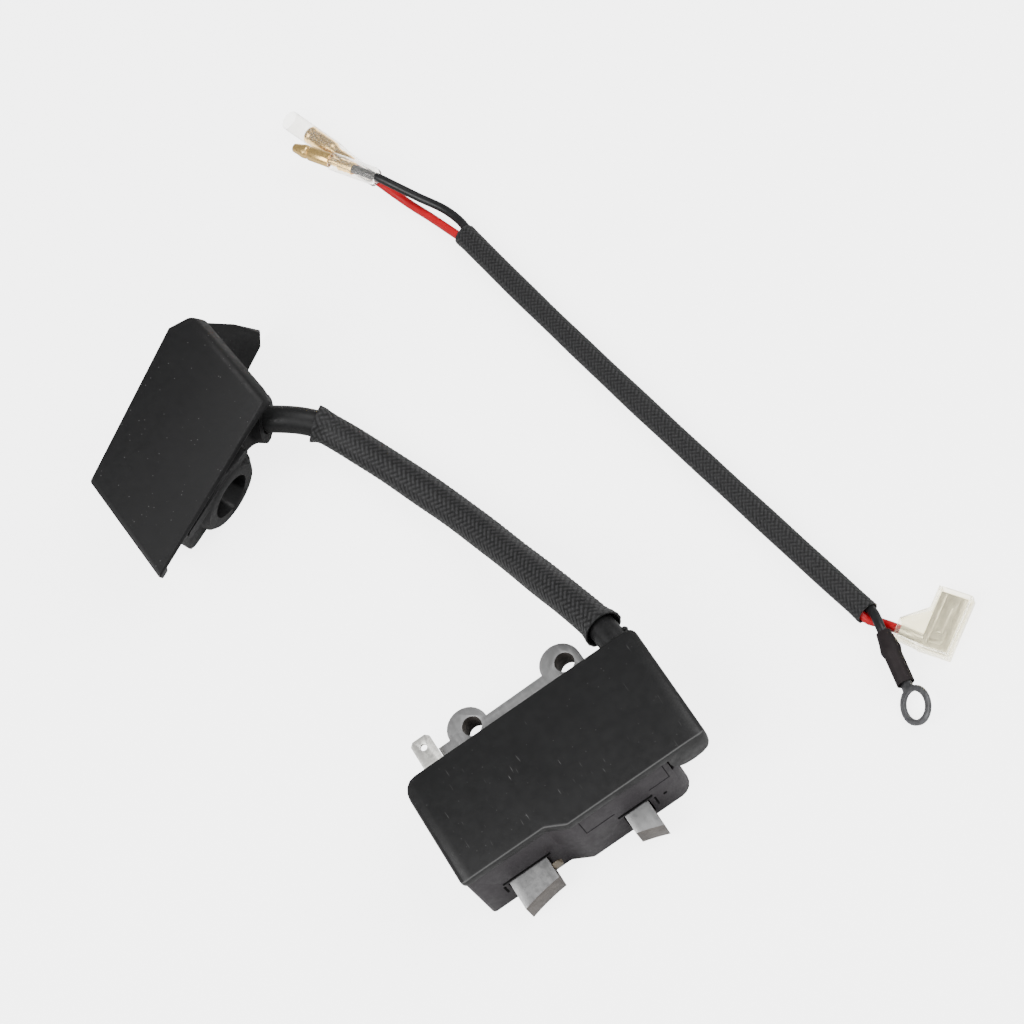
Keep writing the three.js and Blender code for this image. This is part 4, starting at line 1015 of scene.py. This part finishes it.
# -------- module
@dataclass
class CoilModule:
    """The potted coil on its core."""

    finishes: Finishes
    top_z: float = 22.4
    left_x: float = -33.1
    right_x: float = 30.6
    left_band: float = 3.4
    right_band: float = 4.6
    band_drop: float = 1.5
    band_depth: float = 1.2
    band_fade: float = 0.5
    front_y: float = -40.7
    mark_proud: float = 0.05
    mark_sunk: float = 0.6

    def round_ends(self, piece: Piece) -> None:
        """Rolls the two ends of the top down over their bands."""
        left, right = self.left_x, self.right_x
        cuts = [left + self.left_band * t for t in (0.12, 0.3, 0.5, 0.75, 1.0)]
        cuts += [right - self.right_band * t for t in (0.1, 0.25, 0.45, 0.7, 1.0)]
        for x in cuts:
            with editing(piece):
                bpy.ops.mesh.select_all(action="SELECT")
                bpy.ops.mesh.bisect(plane_co=(x * MM, 0, 0), plane_no=(1, 0, 0))
        for vertex in piece.data.vertices:
            x, z = vertex.co.x / MM, vertex.co.z / MM
            reach = max((left + self.left_band - x) / self.left_band,
                        (x - right + self.right_band) / self.right_band)
            if reach > 0 and z > self.top_z - self.band_depth:
                fall = self.band_drop * (1 - math.sqrt(max(1 - min(reach, 1.0) ** 2, 0.0)))
                vertex.co.z -= fall * min(1.0, (z - self.top_z + self.band_depth) / self.band_fade) * MM

    def build_housing(self) -> None:
        """Makes the two mouldings."""
        f = self.finishes
        rim = self.top_z - 0.05
        top = adopt("housing_top", 0.55, 3, 25, lambda a, b: 1.0 if min(a.z, b.z) > rim else 0.3)
        self.round_ends(top)
        finish(top, "top_moulding", f.top, Body.ROOT, ["housing_top"], 40)
        finish(adopt("housing_body", 0.35, 3), "lower_moulding", f.body, Body.ROOT, ["housing_body"], 40)

    def build_core(self) -> None:
        """Makes the laminated core, its rivets and the spade tab."""
        f = self.finishes
        finish(adopt("core_stack", 0.18), "laminated_core", f.steel, Body.ROOT, ["core_stack"], 35)
        finish(adopt("spade_tab", 0.12), "spade", f.tin, Body.ROOT, ["spade_tab"], 35)
        for i in (1, 2, 3):
            node = f"core_rivet_{i}"
            finish(adopt(node, 0.08), f"rivet_{i}", f.rivet, Body.ROOT, [node], 40)

    def on_front(self, x: float, z: float) -> Vector:
        """The point of the lower moulding's front face at this place, in millimetres."""
        moulding = bpy.data.objects["lower_moulding"]
        hit, point, _, _ = moulding.ray_cast(Vector((x, -100.0, z)) * MM, Vector((0, 1, 0)))
        return point / MM if hit else Vector((x, self.front_y, z))

    def build_marks(self) -> None:
        """Makes the fine lines and slits on the front of the lower moulding, and dark strips of painted
        shadow above the legs.
        """
        for name, x0, z0, x1, z1 in (
            ("panel_line_left", -4.2, 11.2, -4.0, 18.8), ("panel_line_low_left", -4.2, 11.0, 3.4, 11.22),
            ("panel_line_low_right", 12.8, 11.0, 18.4, 11.22), ("panel_line_right", 18.2, 11.2, 18.4, 18.8),
            ("leg_slit_right", 12.7, 1.6, 13.15, 6.2), ("leg_slit_left", -26.9, 2.6, -26.3, 6.5),
            # leg_shadow_right and leg_shadow_left are dark strips of painted shadow above the legs.
            ("pin_mark", 15.0, 4.4, 15.9, 5.3), ("leg_shadow_right", 3.4, 7.3, 12.7, 8.3),
            ("leg_shadow_left", -26.5, 7.3, -13.6, 8.2),
        ):
            y = self.on_front((x0 + x1) / 2, (z0 + z1) / 2).y
            slab(name, (x0, y - self.mark_proud, z0), (x1, y + self.mark_sunk, z1), 0.03,
                 self.finishes.gap, Body.ROOT)

    def build_blobs(self) -> None:
        """Makes the spots of set resin by the left leg and where the lead leaves."""
        f = self.finishes
        for name, place, size, phase, dress in (
            ("resin_spot", (-13.6, -40.6, 5.8), (1.3, 0.8, 1.6), 1.0, f.resin_drop),
            ("lead_bead_1", (27.6, -6.4, 17.0), (1.0, 0.8, 1.1), 2.0, f.lead),
            ("lead_bead_2", (28.9, -7.2, 17.2), (0.8, 0.7, 0.9), 3.0, f.lead),
        ):
            bpy.ops.object.select_all(action="DESELECT")
            bpy.ops.mesh.primitive_ico_sphere_add(subdivisions=3, radius=MM, location=(0, 0, 0))
            piece = bpy.context.object
            with editing(piece) as mesh:
                for vertex in mesh.verts:
                    a, b, c = vertex.co / MM
                    wave = 0.13 * math.sin(4 * a + phase) * math.sin(5 * b + 2 * phase)
                    vertex.co *= 1 + wave + 0.1 * math.sin(6 * c + phase)
                bmesh.update_edit_mesh(piece.data)
                bpy.ops.mesh.select_all(action="SELECT")
                bpy.ops.transform.resize(value=size)
                bpy.ops.transform.translate(value=[v * MM for v in place])
            finish(piece, name, dress, Body.ROOT, (), 60)

    def dress_inside(self) -> None:
        """Gives the sealed pieces their finishes."""
        f = self.finishes
        dress = {
            "charge_bobbin": f.nylon, "trigger_bobbin": f.nylon, "primary_bobbin": f.nylon,
            "secondary_bobbin": f.nylon, "charge_winding": f.copper_y, "trigger_winding": f.copper_y,
            "primary_winding": f.copper_x, "secondary_winding": f.copper_x, "transformer_rod": f.rivet,
            "potting_block": f.resin, "high_tension_pin": f.brass, "circuit_board": f.board,
            "charge_capacitor": f.capacitor, "charge_diode": f.resin, "clamp_diode": f.resin,
            "gate_resistor": f.nylon, "thyristor": f.resin,
        }
        for node, material in dress.items():
            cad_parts[node].data.materials.clear()
            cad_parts[node].data.materials.append(material)
            log.info("dressed %s", node)

    def build(self) -> None:
        """Builds the whole module."""
        self.build_housing()
        self.build_marks()
        self.build_blobs()
        self.build_core()
        self.dress_inside()


# -------- plug cap
@dataclass
class PlugCap:
    """The cover and boot at the plug's end."""

    finishes: Finishes
    origin: Point = (-32.7, 90.6, 0.0)
    turn_deg: float = 33.0
    full_round: float = 1.7
    panel_low: float = 20.5
    side_from: float = 20.0
    back_from: float = -22.0

    def across(self, point: Vector) -> Vector:
        """A point in millimetres in the cover's own frame: along its width, towards its mouth, up."""
        turn = math.radians(self.turn_deg)
        x, y = point.x - self.origin[0], point.y - self.origin[1]
        width = x * math.cos(turn) + y * math.sin(turn)
        return Vector((width, x * math.sin(turn) - y * math.cos(turn), point.z))

    def fold(self, a: Vector, b: Vector) -> float:
        """Share of the full rounding for a cover edge: all on outer folds, none round the open side."""
        p, q = self.across(a), self.across(b)
        low, middle = min(p.z, q.z), (p + q) / 2
        side = middle.x > self.side_from
        if low > self.panel_low and (side or middle.y < self.back_from):
            return 1.0
        return 0.0 if side and low < self.panel_low else 0.3

    def build(self) -> None:
        """Makes the cover, boot, spring and contact."""
        f = self.finishes
        cover = adopt("plug_cover", self.full_round, 5, 20, self.fold)
        finish(cover, "cover", f.cover, Body.CAP, ["plug_cover"], 40)
        for node, edge_mm, name, dress, smooth_deg, slot in (
            ("plug_boot", 0.0, "boot", f.rubber, 40, "black_rubber"),
            ("terminal_contact", 0.15, "plug_contact", f.brass, 40, "brass"),
            ("terminal_spring", 0.0, "plug_spring", f.rivet, 60, "spring_steel"),
        ):
            finish(adopt(node, edge_mm), name, dress, Body.CAP, [node], smooth_deg)


def main() -> None:
    """Builds everything in order."""
    logging.basicConfig(level=logging.INFO, format="%(message)s")
    bpy.ops.object.select_all(action="DESELECT")
    studio = Studio()
    studio.add_camera()
    finishes = Finishes()
    lead = PlugLead(finishes)
    lead.build()
    stop = StopLead(finishes)
    stop.build_cords()
    CoilModule(finishes).build()
    PlugCap(finishes).build()
    stop.build()
    studio.add_floor()
    studio.add_lights()


if __name__ == "__main__":
    main()
